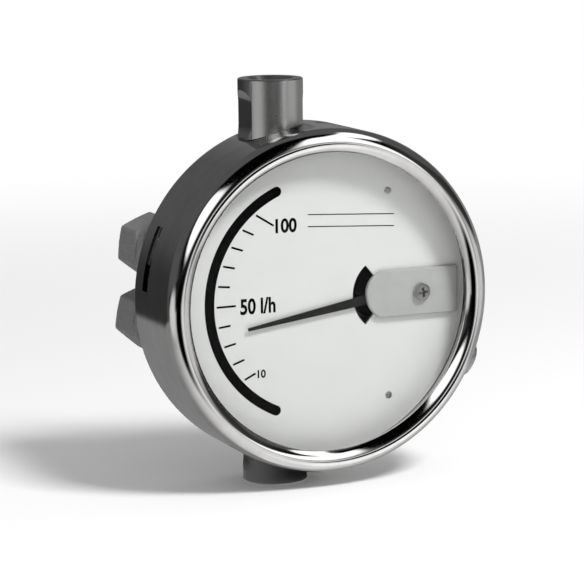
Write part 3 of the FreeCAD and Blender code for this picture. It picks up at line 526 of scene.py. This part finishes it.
# %% True normals on the cylinder
def cylinder_normals(made):
    """Corners of faces that look away from the case's axis, or towards it, get the exact direction:
    (x, 0, z) / sqrt(x^2 + z^2), with x and z from the axis."""
    mesh = made.data
    place = np.empty(len(mesh.vertices) * 3)
    mesh.vertices.foreach_get("co", place)
    owner = np.empty(len(mesh.loops), int)
    mesh.loops.foreach_get("vertex_index", owner)
    facing = np.empty(len(mesh.polygons) * 3)
    mesh.polygons.foreach_get("normal", facing)
    sizes = np.empty(len(mesh.polygons), int)
    mesh.polygons.foreach_get("loop_total", sizes)
    at = place.reshape(-1, 3)[owner] / MM
    face = np.repeat(facing.reshape(-1, 3), sizes, axis=0)
    away = np.stack([at[:, 0] - case_x, np.zeros(len(at)), at[:, 2] - case_z], 1)
    away /= np.maximum(np.linalg.norm(away, axis=1), 1e-9)[:, None]
    along = np.sum(face * away, 1)
    on_wall = np.abs(along) > 0.999
    exact = np.where(on_wall[:, None], away * np.sign(along)[:, None], 0)
    mesh.normals_split_custom_set(exact.tolist())
    print(made.name, "exact normals on", int(on_wall.sum()), "of", len(along), "loops")


cylinder_normals(case)

# %% [markdown]
# ## Rolled edges of the lugs
#
# In each slot one sees the edge of a lug of the dial's carrier.  It is folded over, and the fold
# shines.  A fold is a rod bent about the case's axis: a circle of radius r carried along an arc,
# with r going to 0 at both ends.

# %% Folds in the slots
FOLD = 0.55
FOLD_STATION = 0.2
FOLD_DEPTH = 0.7
FOLD_SPAN = (-9.0, 1.5)


def bent_rod(start, finish, radius, station, thick, rows=41, columns=16):
    """(radius + thick sin t, station + thick cos t) at each angle of the arc, with ends that close
    as an ellipse does: thick times the square root of 1 - u^2, with u from -1 to 1."""
    u = np.sin(np.linspace(-math.pi / 2, math.pi / 2, rows))[:, None]
    angle = np.radians((start + finish) / 2 + (finish - start) / 2 * u)
    t = np.linspace(0, 2 * math.pi, columns, endpoint=False)
    girth = thick * np.sqrt(1 - u ** 2)
    out = radius + girth * np.sin(t)
    points = np.stack([out * np.cos(angle), out * np.sin(angle), station + girth * np.cos(t)], -1)
    return points.reshape(-1, 3), grid_faces(rows, columns, close_rows=False)


for k, angle in enumerate(SLOT_ANGLES):
    points, faces = bent_rod(angle + FOLD_SPAN[0], angle + FOLD_SPAN[1], case_radius - FOLD_DEPTH,
                             FOLD_STATION, FOLD)
    piece(f"lug_fold_{k}", in_case(points), faces, polished, "carrier_sheet")

# %% [markdown]
# ## The meter tube
#
# Everything on the tube but its flats is turned, so it is one closed profile: the outside, a wide
# bevel into each port, and the bore.  The ports are threaded.  A thread is a radius that depends on
# height and angle together, r = r0 + depth * tooth(height / pitch - angle / 360), where tooth is a
# triangle wave.  The flats for a spanner are milled afterwards, by tools whose ends are as round as
# the cutter.

# %% Tube with threaded ports
PORT_RADIUS = 5.72
PORT_BEVEL = 1.6
PORT_DEPTH = 12.0
PITCH = 1.337
THREAD_DEPTH = 0.6
RIM = 0.3
SEAT_RADIUS = 5.5
CONE = (4.3, 5.2)
THREAD_ROWS = 96
stop_low, stop_high = corners("lower_float_stop")[1][2], corners("upper_float_stop")[0][2]


def thread(radius, height, t):
    """Cut a helical groove where the profile lies in a port; elsewhere leave the radius alone."""
    depth_in = np.minimum(height, tube_length - height)
    in_port = (depth_in > PORT_BEVEL) & (depth_in < PORT_DEPTH - PITCH)
    in_port = in_port & (np.abs(radius - PORT_RADIUS) < 0.01)
    tooth = np.abs(np.mod(height / PITCH - t / (2 * math.pi), 1) * 2 - 1)
    return radius + np.where(in_port, THREAD_DEPTH * (1 - tooth), 0)


port = np.linspace(PORT_BEVEL, PORT_DEPTH, THREAD_ROWS)
port_wall = np.full(THREAD_ROWS, PORT_RADIUS)
mouth = PORT_RADIUS + PORT_BEVEL
tube_profile = np.vstack([
    [[mouth, 0], [tube_radius - RIM, 0], [tube_radius, RIM]],
    [[tube_radius, tube_length - RIM], [tube_radius - RIM, tube_length], [mouth, tube_length]],
    np.stack([port_wall, tube_length - port], 1),
    [[SEAT_RADIUS, tube_length - PORT_DEPTH], [SEAT_RADIUS, stop_high], [CONE[1], stop_high]],
    [[CONE[0], stop_low], [SEAT_RADIUS, stop_low], [SEAT_RADIUS, PORT_DEPTH]],
    np.stack([port_wall, port[::-1]], 1),
])
tube = piece("tube_bar", *lathe(tube_profile, 180, thread), turned_steel, "tube_steel",
             replaces=["meter_tube"])

# %% Spanner flats
FLAT = 8.4
FLAT_INSET = 7.4
FLAT_LENGTH = 6.4
CUTTER = 6.0
quarter = np.linspace(0, math.pi / 2, 20)
run_out = np.stack([FLAT + CUTTER * (1 - np.cos(quarter)), -CUTTER * np.sin(quarter)], 1)
milled = np.vstack([run_out[::-1], run_out * [1, -1] + [0, FLAT_LENGTH]])
tools = []
for low in (FLAT_INSET, tube_length - FLAT_INSET - FLAT_LENGTH):
    for side in (-1, 1):
        flat, faces = plate(milled, -tube_radius - OVERCUT, tube_radius + OVERCUT)
        points = np.stack([side * flat[:, 0], flat[:, 2], low + flat[:, 1]], 1)
        tools.append(fill("flat_tool", points, faces))
cut(tube, tools)

# %% [markdown]
# ## Cable glands
#
# Two moulded glands leave the rear of the case.  A hexagon is a turned form whose radius depends on
# the angle: half the width across flats over the cosine of the angle from the nearest flat's
# middle.  The smaller of that and a cone gives the rounded-off corners of a real nut, and shallow
# ribs along the flats give the fingers a grip.  Rows that lie outside the hexagon, at the radius
# FREE, are all drawn in to it.

# %% Hexagonal pieces
ACROSS = 18.0
CORNER = ACROSS / 1.66
NECK = 7.05
MOUTH = 4.2
CABLE = 5.0
SEAL = 5.6
THREAD = 7.9
NUT_FLOOR = 1.5
WASHER = 1.0
HEX_HEIGHT = 5.0
BOSS = (7.95, 9.2, 5.0)
GLAND_TURNS = {"upper": -7.5, "lower": -11.0}
RIB_PITCH = 1.1
RIB_DEPTH = 0.04
RIM_STEPS = 720


def hexagon(turn, ribs=0.0):
    """A shape for lathe: min(profile, hexagon) with cosine ribs across each flat.  The hexagon's
    reach is half the width across flats over cos(angle from the flat's middle)."""
    def shape(radius, height, t):
        off = np.mod(t - math.radians(turn), math.pi / 3) - math.pi / 6
        reach = np.minimum(ACROSS / 2 / np.cos(off), ACROSS / math.sqrt(3) - 0.2)
        groove = ribs * (0.5 + 0.5 * np.cos(2 * math.pi * ACROSS / 2 * np.tan(off) / RIB_PITCH))
        limit = np.minimum(radius, reach)
        return np.where(radius > ACROSS, limit - groove, limit)
    return shape


def cone(start, finish, steps=8):
    """Rows of a profile on a straight line, so close that the hexagon can cut into them."""
    return np.linspace(start, finish, steps)


FREE = 2 * ACROSS
for side, turn in GLAND_TURNS.items():
    low, high = corners(f"{side}_gland_nut")
    x, y = ((low + high) / 2)[[0, 2]] - [case_x, case_z]
    rear, front = stations(f"{side}_gland_nut")
    body_rear = stations(f"{side}_gland_body")[0]
    seat = body_rear - 0.3
    nut_profile = np.vstack([
        [[MOUTH, rear + NUT_FLOOR], [MOUTH, rear + 0.4]],
        cone((MOUTH + 0.4, rear), (ACROSS / 2 - 0.5, rear), 3),
        cone((ACROSS / 2 - 0.3, rear), (CORNER, rear + 1.2)),
        cone((FREE, rear + 1.4), (FREE, front - 1.4), 12),
        cone((CORNER, front - 1.2), (ACROSS / 2 - 0.3, front)),
        [[NECK, front], [NECK, seat], [SEAL, seat], [SEAL, rear + NUT_FLOOR]],
    ])
    points, faces = lathe(nut_profile, RIM_STEPS, hexagon(90 + turn, RIB_DEPTH))
    piece(f"{side}_cap_nut", in_case(points, x, y), faces, polyamide, "gland_plastic",
          replaces=[f"{side}_gland_nut"])
    hex_front = case_rear - WASHER
    hex_rear = hex_front - HEX_HEIGHT
    boss_inner, boss_outer, boss_height = BOSS
    boss_front = case_rear + boss_height
    neck = NECK - TUBE_GAP
    body_profile = np.vstack([
        [[CABLE, body_rear], [neck, body_rear], [neck, hex_rear]],
        cone((ACROSS / 2 - 0.4, hex_rear), (CORNER, hex_rear + 1.0)),
        cone((FREE, hex_rear + 1.2), (FREE, hex_front - 0.6), 6),
        cone((CORNER, hex_front - 0.5), (ACROSS / 2 + 0.2, hex_front)),
        [[THREAD, hex_front], [THREAD, boss_front], [CABLE, boss_front]],
    ])
    points, faces = lathe(body_profile, RIM_STEPS, hexagon(30 + turn))
    piece(f"{side}_gland_socket", in_case(points, x, y), faces, polyamide, "gland_plastic",
          replaces=[f"{side}_gland_body"])
    points, faces = lathe(rounded([
        (boss_inner, case_rear), (boss_outer, case_rear, 0.3),
        (boss_outer, boss_front), (boss_inner, boss_front)]))
    piece(f"{side}_gland_seat", in_case(points, x, y), faces, drawn, "case_steel")

# %% [markdown]
# ## The dial's print
#
# The scale is printed.  Its band is part of a ring about the case's axis with round ends, but its
# ticks point at the pointer's pivot, which lies to the right, so each tick is found by cutting a
# ray from the pivot with two circles about the case's axis: with the ray's unit vector d and the
# pivot p, the distance to the circle of radius R is -p.d + sqrt(R^2 - |p|^2 + (p.d)^2).

# %% Band and ticks
INK = 0.04
BAND = (35.4, 38.5)
BAND_ENDS = (113.3, 245.0)
PIVOT = np.array([22.4, 0.0])
SCALE_ANGLE = 63.7
TICK_OUTER = 34.6
TICK_INNER = {"short": 30.8, "long": 28.4}
TICK_WIDTH = 0.62


def printed(name, outline):
    """A flat mark, a few hundredths of a millimetre thick, on the dial."""
    points, faces = plate(outline, dial_front, dial_front + INK)
    return piece(name, in_case(points), faces, print_ink, "pointer_black")


middle, half = sum(BAND) / 2, (BAND[1] - BAND[0]) / 2
along = np.linspace(math.radians(BAND_ENDS[0]), math.radians(BAND_ENDS[1]), 181)
round_end = np.linspace(0, math.pi, 24)[1:-1]


def ring_point(radius, angle):
    """radius (cos a, sin a), about the case's axis."""
    return np.stack([radius * np.cos(angle), radius * np.sin(angle)], -1)


caps = [
    ring_point(middle, along[-1]) + half * ring_point(1, along[-1] + round_end),
    ring_point(middle, along[0]) + half * ring_point(1, along[0] + math.pi + round_end),
]
printed("scale_band", np.vstack([
    ring_point(BAND[1], along), caps[0], ring_point(BAND[0], along[::-1]), caps[1]]))


def tick(value, kind):
    """The four corners of one tick, whose bearing from the pivot falls evenly with the value."""
    bearing = math.radians(180 - (value - 50) / 100 * SCALE_ANGLE)
    ray = np.array([math.cos(bearing), math.sin(bearing)])
    aside = np.array([-ray[1], ray[0]]) * TICK_WIDTH / 2
    radii = np.array([TICK_OUTER, TICK_INNER[kind]])
    distance = -PIVOT @ ray + np.sqrt(radii ** 2 - PIVOT @ PIVOT + (PIVOT @ ray) ** 2)
    outer, inner = PIVOT + distance[:, None] * ray
    return np.array([outer - aside, inner - aside, inner + aside, outer + aside])


for value in range(10, 101, 10):
    printed(f"tick_{value}", tick(value, "long" if value in (50, 100) else "short"))


# %% [markdown]
# ## Numbers
#
# The numbers are set in Blender's own sans serif, made a mesh, and fitted to the box each fills
# on the dial, which also gives them their narrow proportions.

# %% Figures and two blank rules
STROKE = 0.030
RULE_X = (-4.4, 24.5)
RULE_HALF = 0.15


def lettering(name, words, left, top, right, low):
    """Text as a thin solid that fills a box of the dial."""
    letters = bpy.data.curves.new(name, "FONT")
    letters.body = words
    letters.extrude = 0.5
    letters.offset = STROKE
    letters.resolution_u = 4
    holder = bpy.data.objects.new(name + "_text", letters)
    scene.collection.objects.link(holder)
    bpy.context.view_layer.update()
    mesh = bpy.data.meshes.new_from_object(holder.evaluated_get(bpy.context.evaluated_depsgraph_get()))
    bpy.data.objects.remove(holder)
    place = np.empty(len(mesh.vertices) * 3)
    mesh.vertices.foreach_get("co", place)
    place = place.reshape(-1, 3)
    start, size = place.min(0), np.ptp(place, axis=0)
    target = np.array([left, low, dial_front]), np.array([right - left, top - low, INK])
    mesh.vertices.foreach_set("co", (in_case(target[0] + (place - start) / size * target[1]) * MM).ravel())
    mesh.update()
    made = bpy.data.objects.new(name, mesh)
    scene.collection.objects.link(made)
    mesh.materials.append(print_ink)
    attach(made, "housing")
    print(name, len(mesh.polygons), "faces")


lettering("figure_100", "100", -15.1, 25.7, -8.1, 21.2)
lettering("figure_50", "50 l/h", -27.0, 2.0, -15.4, -3.0)
lettering("figure_10", "10", -21.6, -20.3, -18.9, -22.9)
for k, (left_y, right_y) in enumerate([(26.3, 24.7), (22.6, 21.0)]):
    printed(f"blank_rule_{k}", [
        (RULE_X[0], left_y - RULE_HALF), (RULE_X[1], right_y - RULE_HALF),
        (RULE_X[1], right_y + RULE_HALF), (RULE_X[0], left_y + RULE_HALF)])

# %% [markdown]
# ## Bridge plate and its screw
#
# The plate that carries the front bearing is blanked from sheet, and blanking leaves one edge
# soft, here a quarter round of 0.7 mm.  Its screw is a pan head with a cross recess, cut by two
# crossed blades.

# %% Bridge
BRIDGE_RADIUS = 8.0
BRIDGE_HALF = 7.4
BRIDGE_GAP = 0.7
SOFT_EDGE = 0.7
bridge_back, bridge_front = dial_front + BRIDGE_GAP, stations("bridge")[1]
bridge_end = corners("bridge")[1][0] - case_x
swing = math.asin(BRIDGE_HALF / BRIDGE_RADIUS)
nose = np.linspace(math.pi - swing, math.pi + swing, 41)
nose = PIVOT + BRIDGE_RADIUS * np.stack([np.cos(nose), np.sin(nose)], 1)
bridge_outline = np.vstack([nose, [[bridge_end, -BRIDGE_HALF], [bridge_end, BRIDGE_HALF]]])
points, faces = plate(bridge_outline, bridge_back, bridge_front, bevel=SOFT_EDGE, steps=8)
piece("bridge_plate", in_case(points), faces, anodised, "bridge_sheet", replaces=["bridge"])


# %% Cross-recessed screws
def screw(name, head, height, shank, length, place, facing, replaces, turn=0.0):
    """A pan head whose edge is an arc, with a cross recess that tapers like the driver's tip.
    facing is 1 for a head that looks forwards and -1 for one that looks to the rear."""
    dome = np.linspace(0, math.pi / 2, 12)
    edge = 0.45 * height
    profile = np.vstack([
        [[0, -length], [shank, -length], [shank, 0], [head, 0]],
        np.stack([head - edge * (1 - np.cos(dome)), height - edge + edge * np.sin(dome)], 1),
        [[0, height * 1.02]],
    ])

    def put(points):
        """From the screw's own frame to its place."""
        station = place[2] + facing * points[:, 2]
        return in_case(np.stack([points[:, 0], points[:, 1], station], 1), *place[:2])

    points, faces = lathe(profile, 96)
    made = piece(name, put(points), faces, screw_steel, "screw_steel", replaces=replaces)
    tip, rim = (0.25 * height, 0.25 * head, 0.09 * head), (1.2 * height, 0.66 * head, 0.17 * head)
    sides = [(0, 1, 2, 3), (4, 5, 6, 7), (0, 1, 5, 4), (1, 2, 6, 5), (2, 3, 7, 6), (3, 0, 4, 7)]
    blades = []
    for angle in (turn, turn + 90):
        c, s = math.cos(math.radians(angle)), math.sin(math.radians(angle))
        blade = []
        for level, reach, width in (tip, rim):
            for u, v in ((-reach, -width), (reach, -width), (reach, width), (-reach, width)):
                blade.append((c * u - s * v, s * u + c * v, level))
        blades.append(fill("blade", put(np.array(blade)), sides))
    cut(made, blades)


PAN = {"head": 2.65, "height": 1.7, "shank": 1.25, "length": 4.5}
SADDLE_PAN = {"head": 3.2, "height": 2.0, "shank": 1.6, "length": 8.0}
low, high = corners("bridge_screw")
screw("bridge_pan_screw", **PAN, place=((low + high)[0] / 2 - case_x, 0, bridge_front), facing=1,
      replaces=["bridge_screw"], turn=8)
for name in ("upper_saddle_screws", "lower_saddle_screws"):
    low, high = corners(name)
    y = (low + high)[2] / 2 - case_z
    for k, x in enumerate((low[0] + SADDLE_PAN["head"], high[0] - SADDLE_PAN["head"])):
        screw(f"{name}_{k}", **SADDLE_PAN, place=(x - case_x, y, case_rear), facing=-1,
              replaces=[] if k else [name], turn=20 + 35 * k)

# %% [markdown]
# ## The lock screw
#
# A low knurled head on the wall, to the lower right, keeps the bezel from turning.  Its axis points
# straight out of the wall.  The knurl is a cosine round the rim.

# %% Knurled head
LOCK_ANGLE = math.radians(-25.0)
LOCK_STATION = 12.6
LOCK_RADIUS = 6.0
LOCK_HEIGHT = 1.5
LOCK_SHANK = (1.45, 4.0)
LOCK_GAP = 0.05
KNURLS = 60
KNURL_DEPTH = 0.06


def knurl(radius, height, t):
    """radius - depth (1 + cos(n t)) / 2 on the rim alone."""
    groove = KNURL_DEPTH * (0.5 + 0.5 * np.cos(KNURLS * t))
    return radius - np.where(radius > 0.97 * LOCK_RADIUS, groove, 0)


shank, depth = LOCK_SHANK
lock_profile = rounded([
    (0, -depth), (shank, -depth), (shank, 0),
    (LOCK_RADIUS, 0, 0.2), (LOCK_RADIUS, LOCK_HEIGHT, 0.6),
    (4.2, LOCK_HEIGHT, 0.2), (4.0, LOCK_HEIGHT - 0.25, 0.2), (0, LOCK_HEIGHT - 0.2),
], steps=5)
local, faces = lathe(lock_profile, 480, knurl)
out = case_radius + LOCK_GAP + local[:, 2]
points = np.stack([out * math.cos(LOCK_ANGLE) - local[:, 1] * math.sin(LOCK_ANGLE),
                   out * math.sin(LOCK_ANGLE) + local[:, 1] * math.cos(LOCK_ANGLE),
                   LOCK_STATION + local[:, 0]], 1)
piece("lock_head", in_case(points), faces, screw_steel, "screw_steel", replaces=["bezel_lock_screw"])

# %% [markdown]
# ## The room
#
# A pale floor, soft lamps and a world of even light.  What polished steel mirrors matters more than
# the lamps: a real one stands in a dark studio between a few large white screens, and its black
# and white bands are the edges of those screens.  So the world answers mirror rays with such a
# studio, drawn by direction alone, on a map of bearing (0 in front of the dial, growing to the
# right) and height above the horizon, both in degrees.  A light ground lies below the horizon and
# a dim space above it.  Screens and black cloths, each an oval, are laid over them one by one.
# Camera rays see plain white.

# %% Floor
FLOOR_HALF = 20
FLOOR_GAP = 0.0002
square = [(x * FLOOR_HALF, y * FLOOR_HALF, 0) for x, y in ((-1, -1), (1, -1), (1, 1), (-1, 1))]
floor_mesh = bpy.data.meshes.new("floor")
floor_mesh.from_pydata(square, [], [(0, 1, 2, 3)])
floor = bpy.data.objects.new("floor", floor_mesh)
floor.location.z = -FLOOR_GAP
scene.collection.objects.link(floor)
floor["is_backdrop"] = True
paper = bpy.data.materials.new("paper")
tree = Tree(paper)
away = tree.node("ShaderNodeVectorMath", {"operation": "LENGTH"}, [tree.place()], output=1)
far = away.step(0.15, 0.8)
camera_ray = tree.node("ShaderNodeLightPath", output="Is Camera Ray")
glossy_ray = tree.node("ShaderNodeLightPath", output="Is Glossy Ray")
matt = tree.node("ShaderNodeBsdfDiffuse", None, {"Color": grey(0.93)})
white = tree.node("ShaderNodeEmission", None, {"Color": grey(1.0), "Strength": 1.0})
clear = tree.node("ShaderNodeBsdfTransparent")
seen = tree.node("ShaderNodeMixShader", None, [far * camera_ray, matt, white])
both = tree.node("ShaderNodeMixShader", None, [glossy_ray, seen, clear])
tree.node("ShaderNodeOutputMaterial", None, {"Surface": both})
floor_mesh.materials.append(paper)
print("floor", paper.name)

# %% World
world = bpy.data.worlds.new("studio")
scene.world = world
tree = Tree(world)
direction = tree.node("ShaderNodeTexCoord", output="Generated")
x, y, z = (tree.node("ShaderNodeSeparateXYZ", None, [direction], output=k) for k in range(3))
DEGREES = 180 / math.pi
bearing = tree.node("ShaderNodeMath", {"operation": "ARCTAN2"}, [x, 0 - y]) * DEGREES
above = tree.node("ShaderNodeMath", {"operation": "ARCSINE"}, [z]) * DEGREES


def oval(middle, height, wide, tall, tilt=0.0, soft=0.18):
    """1 inside an ellipse on the map of bearing and height, in degrees, 0 outside:
    (u / wide)^2 + (v / tall)^2 < 1, where u and v are the offsets turned by tilt."""
    c, s = math.cos(math.radians(tilt)), math.sin(math.radians(tilt))
    across, along = bearing - middle, above - height
    u = (across * c + along * s) / wide
    v = (along * c - across * s) / tall
    reach = tree.node("ShaderNodeMath", {"operation": "SQRT"}, [u * u + v * v])
    return 1 - reach.step(1 - soft, 1 + soft)


def lay(under, mask, level):
    """Put a screen or a cloth of one brightness over what is there."""
    return under + mask * (level - under)


# The ground, its light middle and what lies on it.
horizon = -8.5 - 4.5 * (1 - bearing.step(-110, -70))
sky = (above - horizon).step(-0.8, 0.8)
ground = 0.22 + 0.55 * bearing.bell(25, 150)
ground = lay(ground, oval(44, -38, 26, 14, soft=0.5), 1.05)
ground = lay(ground, oval(92, -16, 34, 9), 0.30)
ground = lay(ground, oval(36, -19, 13, 9), 0.0)

# The dim space above: black arch and cloths, then three white screens.
heaven = lay(0.085, oval(-8, 40, 66, 44), 0.0)
heaven = lay(heaven, oval(-155, -10, 34, 16, soft=0.5), 0.032)
heaven = lay(heaven, oval(150, 12, 26, 14, soft=0.5), 0.19)
heaven = lay(heaven, oval(-42, -3, 64, 7), 0.01)
heaven = lay(heaven, oval(105, 2, 42, 13, soft=0.4), 0.26)
heaven = lay(heaven, oval(70, 12, 30, 11, soft=0.3), 0.03)
heaven = lay(heaven, oval(-31, 25, 36, 13, tilt=-32), 1.3)
heaven = lay(heaven, oval(26, 20, 8, 26, tilt=4), 1.3)
heaven = lay(heaven, oval(52, 46, 32, 9, tilt=24), 1.3)

# What stands on the horizon gives the tube its stripes: white, black, white.
studio = ground + sky * (heaven - ground)
studio = lay(studio, oval(-70, -9, 24, 10, soft=0.4), 0.66)
studio = lay(studio, oval(-14, -13, 24, 13, soft=0.4), 0.0)
studio = lay(studio, oval(58, -8, 24, 9, soft=0.4), 0.60)
camera_ray = tree.node("ShaderNodeLightPath", output="Is Camera Ray")
glossy_ray = tree.node("ShaderNodeLightPath", output="Is Glossy Ray")
EVEN = 0.47
strength = camera_ray + (1 - camera_ray) * (glossy_ray * studio + (1 - glossy_ray) * EVEN)
background = tree.node("ShaderNodeBackground", None, {"Color": grey(1.0), "Strength": strength})
tree.node("ShaderNodeOutputWorld", None, {"Surface": background})
print("world", world.name)


# %% Lamps
def lamp(name, offset, size, power):
    """A square soft lamp, offset from the case's middle in metres, that looks at it."""
    data = bpy.data.lights.new(name, "AREA")
    data.size = size
    data.energy = power
    made = bpy.data.objects.new(name, data)
    away = mathutils.Vector(offset)
    made.location = mathutils.Vector((case_x * MM, 0, case_z * MM)) + away
    made.rotation_euler = away.to_track_quat("Z", "Y").to_euler()
    made.visible_glossy = False
    scene.collection.objects.link(made)


lamp("key", (0.36, -0.70, 1.0), 0.32, 14.0)
lamp("fill", (-0.9, -0.8, 0.2), 0.9, 0.8)


# %% Cards round the tube
def card(name, bearing, span, distance, low, high, brightness):
    """A bent card about the tube's axis that only mirrors see: points (d sin t, -d cos t, z).
    brightness is a function of the bearing in degrees."""
    t = np.radians(bearing + span * np.linspace(-0.5, 0.5, 25))
    arc = np.stack([distance * np.sin(t), -distance * np.cos(t), np.full(25, low)], 1)
    points = np.vstack([arc, arc + [0, 0, high - low]]) * MM
    mesh = bpy.data.meshes.new(name)
    mesh.from_pydata(points.tolist(), [], [(k, k + 1, k + 26, k + 25) for k in range(24)])
    made = bpy.data.objects.new(name, mesh)
    scene.collection.objects.link(made)
    made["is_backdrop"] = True
    for ray in ("camera", "diffuse", "transmission", "shadow"):
        setattr(made, "visible_" + ray, False)
    board = bpy.data.materials.new(name)
    tree = Tree(board)
    x, y = (tree.node("ShaderNodeSeparateXYZ", None, [tree.place()], output=k) for k in range(2))
    around = tree.node("ShaderNodeMath", {"operation": "ARCTAN2"}, [x, 0 - y]) * DEGREES
    lit = tree.node("ShaderNodeEmission", None, {"Color": grey(1.0), "Strength": brightness(around)})
    tree.node("ShaderNodeOutputMaterial", None, {"Surface": lit})
    mesh.materials.append(board)


# The card round the tube's foot is painted shade. It stands for the floor there, which lies in the object's
# shade. It is dim on the left and nearly black to the right, and only the tube's reflection shows it.
card("foot_shade_card", -10, 220, 15, -2, 12, lambda around: 0.12 - 0.11 * around.step(-90, 30))

# %% [markdown]
# ## Camera
#
# The view is from the left and a little above, with a long lens: 23 degrees round, 10 up, 0.8 m
# away, and the camera is rolled by half a degree.

# %% Camera
AROUND, ABOVE, ROLL = math.radians(-23.13), math.radians(9.76), math.radians(-0.67)
DISTANCE = 0.7997
TARGET = np.array([-2.10, -20.0, 61.98]) * MM
back = np.array([math.sin(AROUND) * math.cos(ABOVE), -math.cos(AROUND) * math.cos(ABOVE), math.sin(ABOVE)])
right = np.array([math.cos(AROUND), math.sin(AROUND), 0])
up = np.cross(back, right)
right, up = (math.cos(ROLL) * right + math.sin(ROLL) * up, math.cos(ROLL) * up - math.sin(ROLL) * right)
lens = bpy.data.cameras.new("camera")
lens.lens = 163.6
lens.sensor_width = 36
lens.clip_start = 0.05
camera = bpy.data.objects.new("camera", lens)
turned = mathutils.Matrix(np.column_stack([right, up, back]).tolist()).to_4x4()
turned.translation = TARGET + DISTANCE * back
camera.matrix_world = turned
scene.collection.objects.link(camera)
scene.camera = camera
scene.view_settings.view_transform = "Standard"

# %% Sizes
low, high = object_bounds()
sizes = {"frame": [list(cad_low), list(cad_high)], "dressed": [list(low), list(high)]}
print({name: [[round(1000 * side, 2) for side in corner] for corner in box] for name, box in sizes.items()})
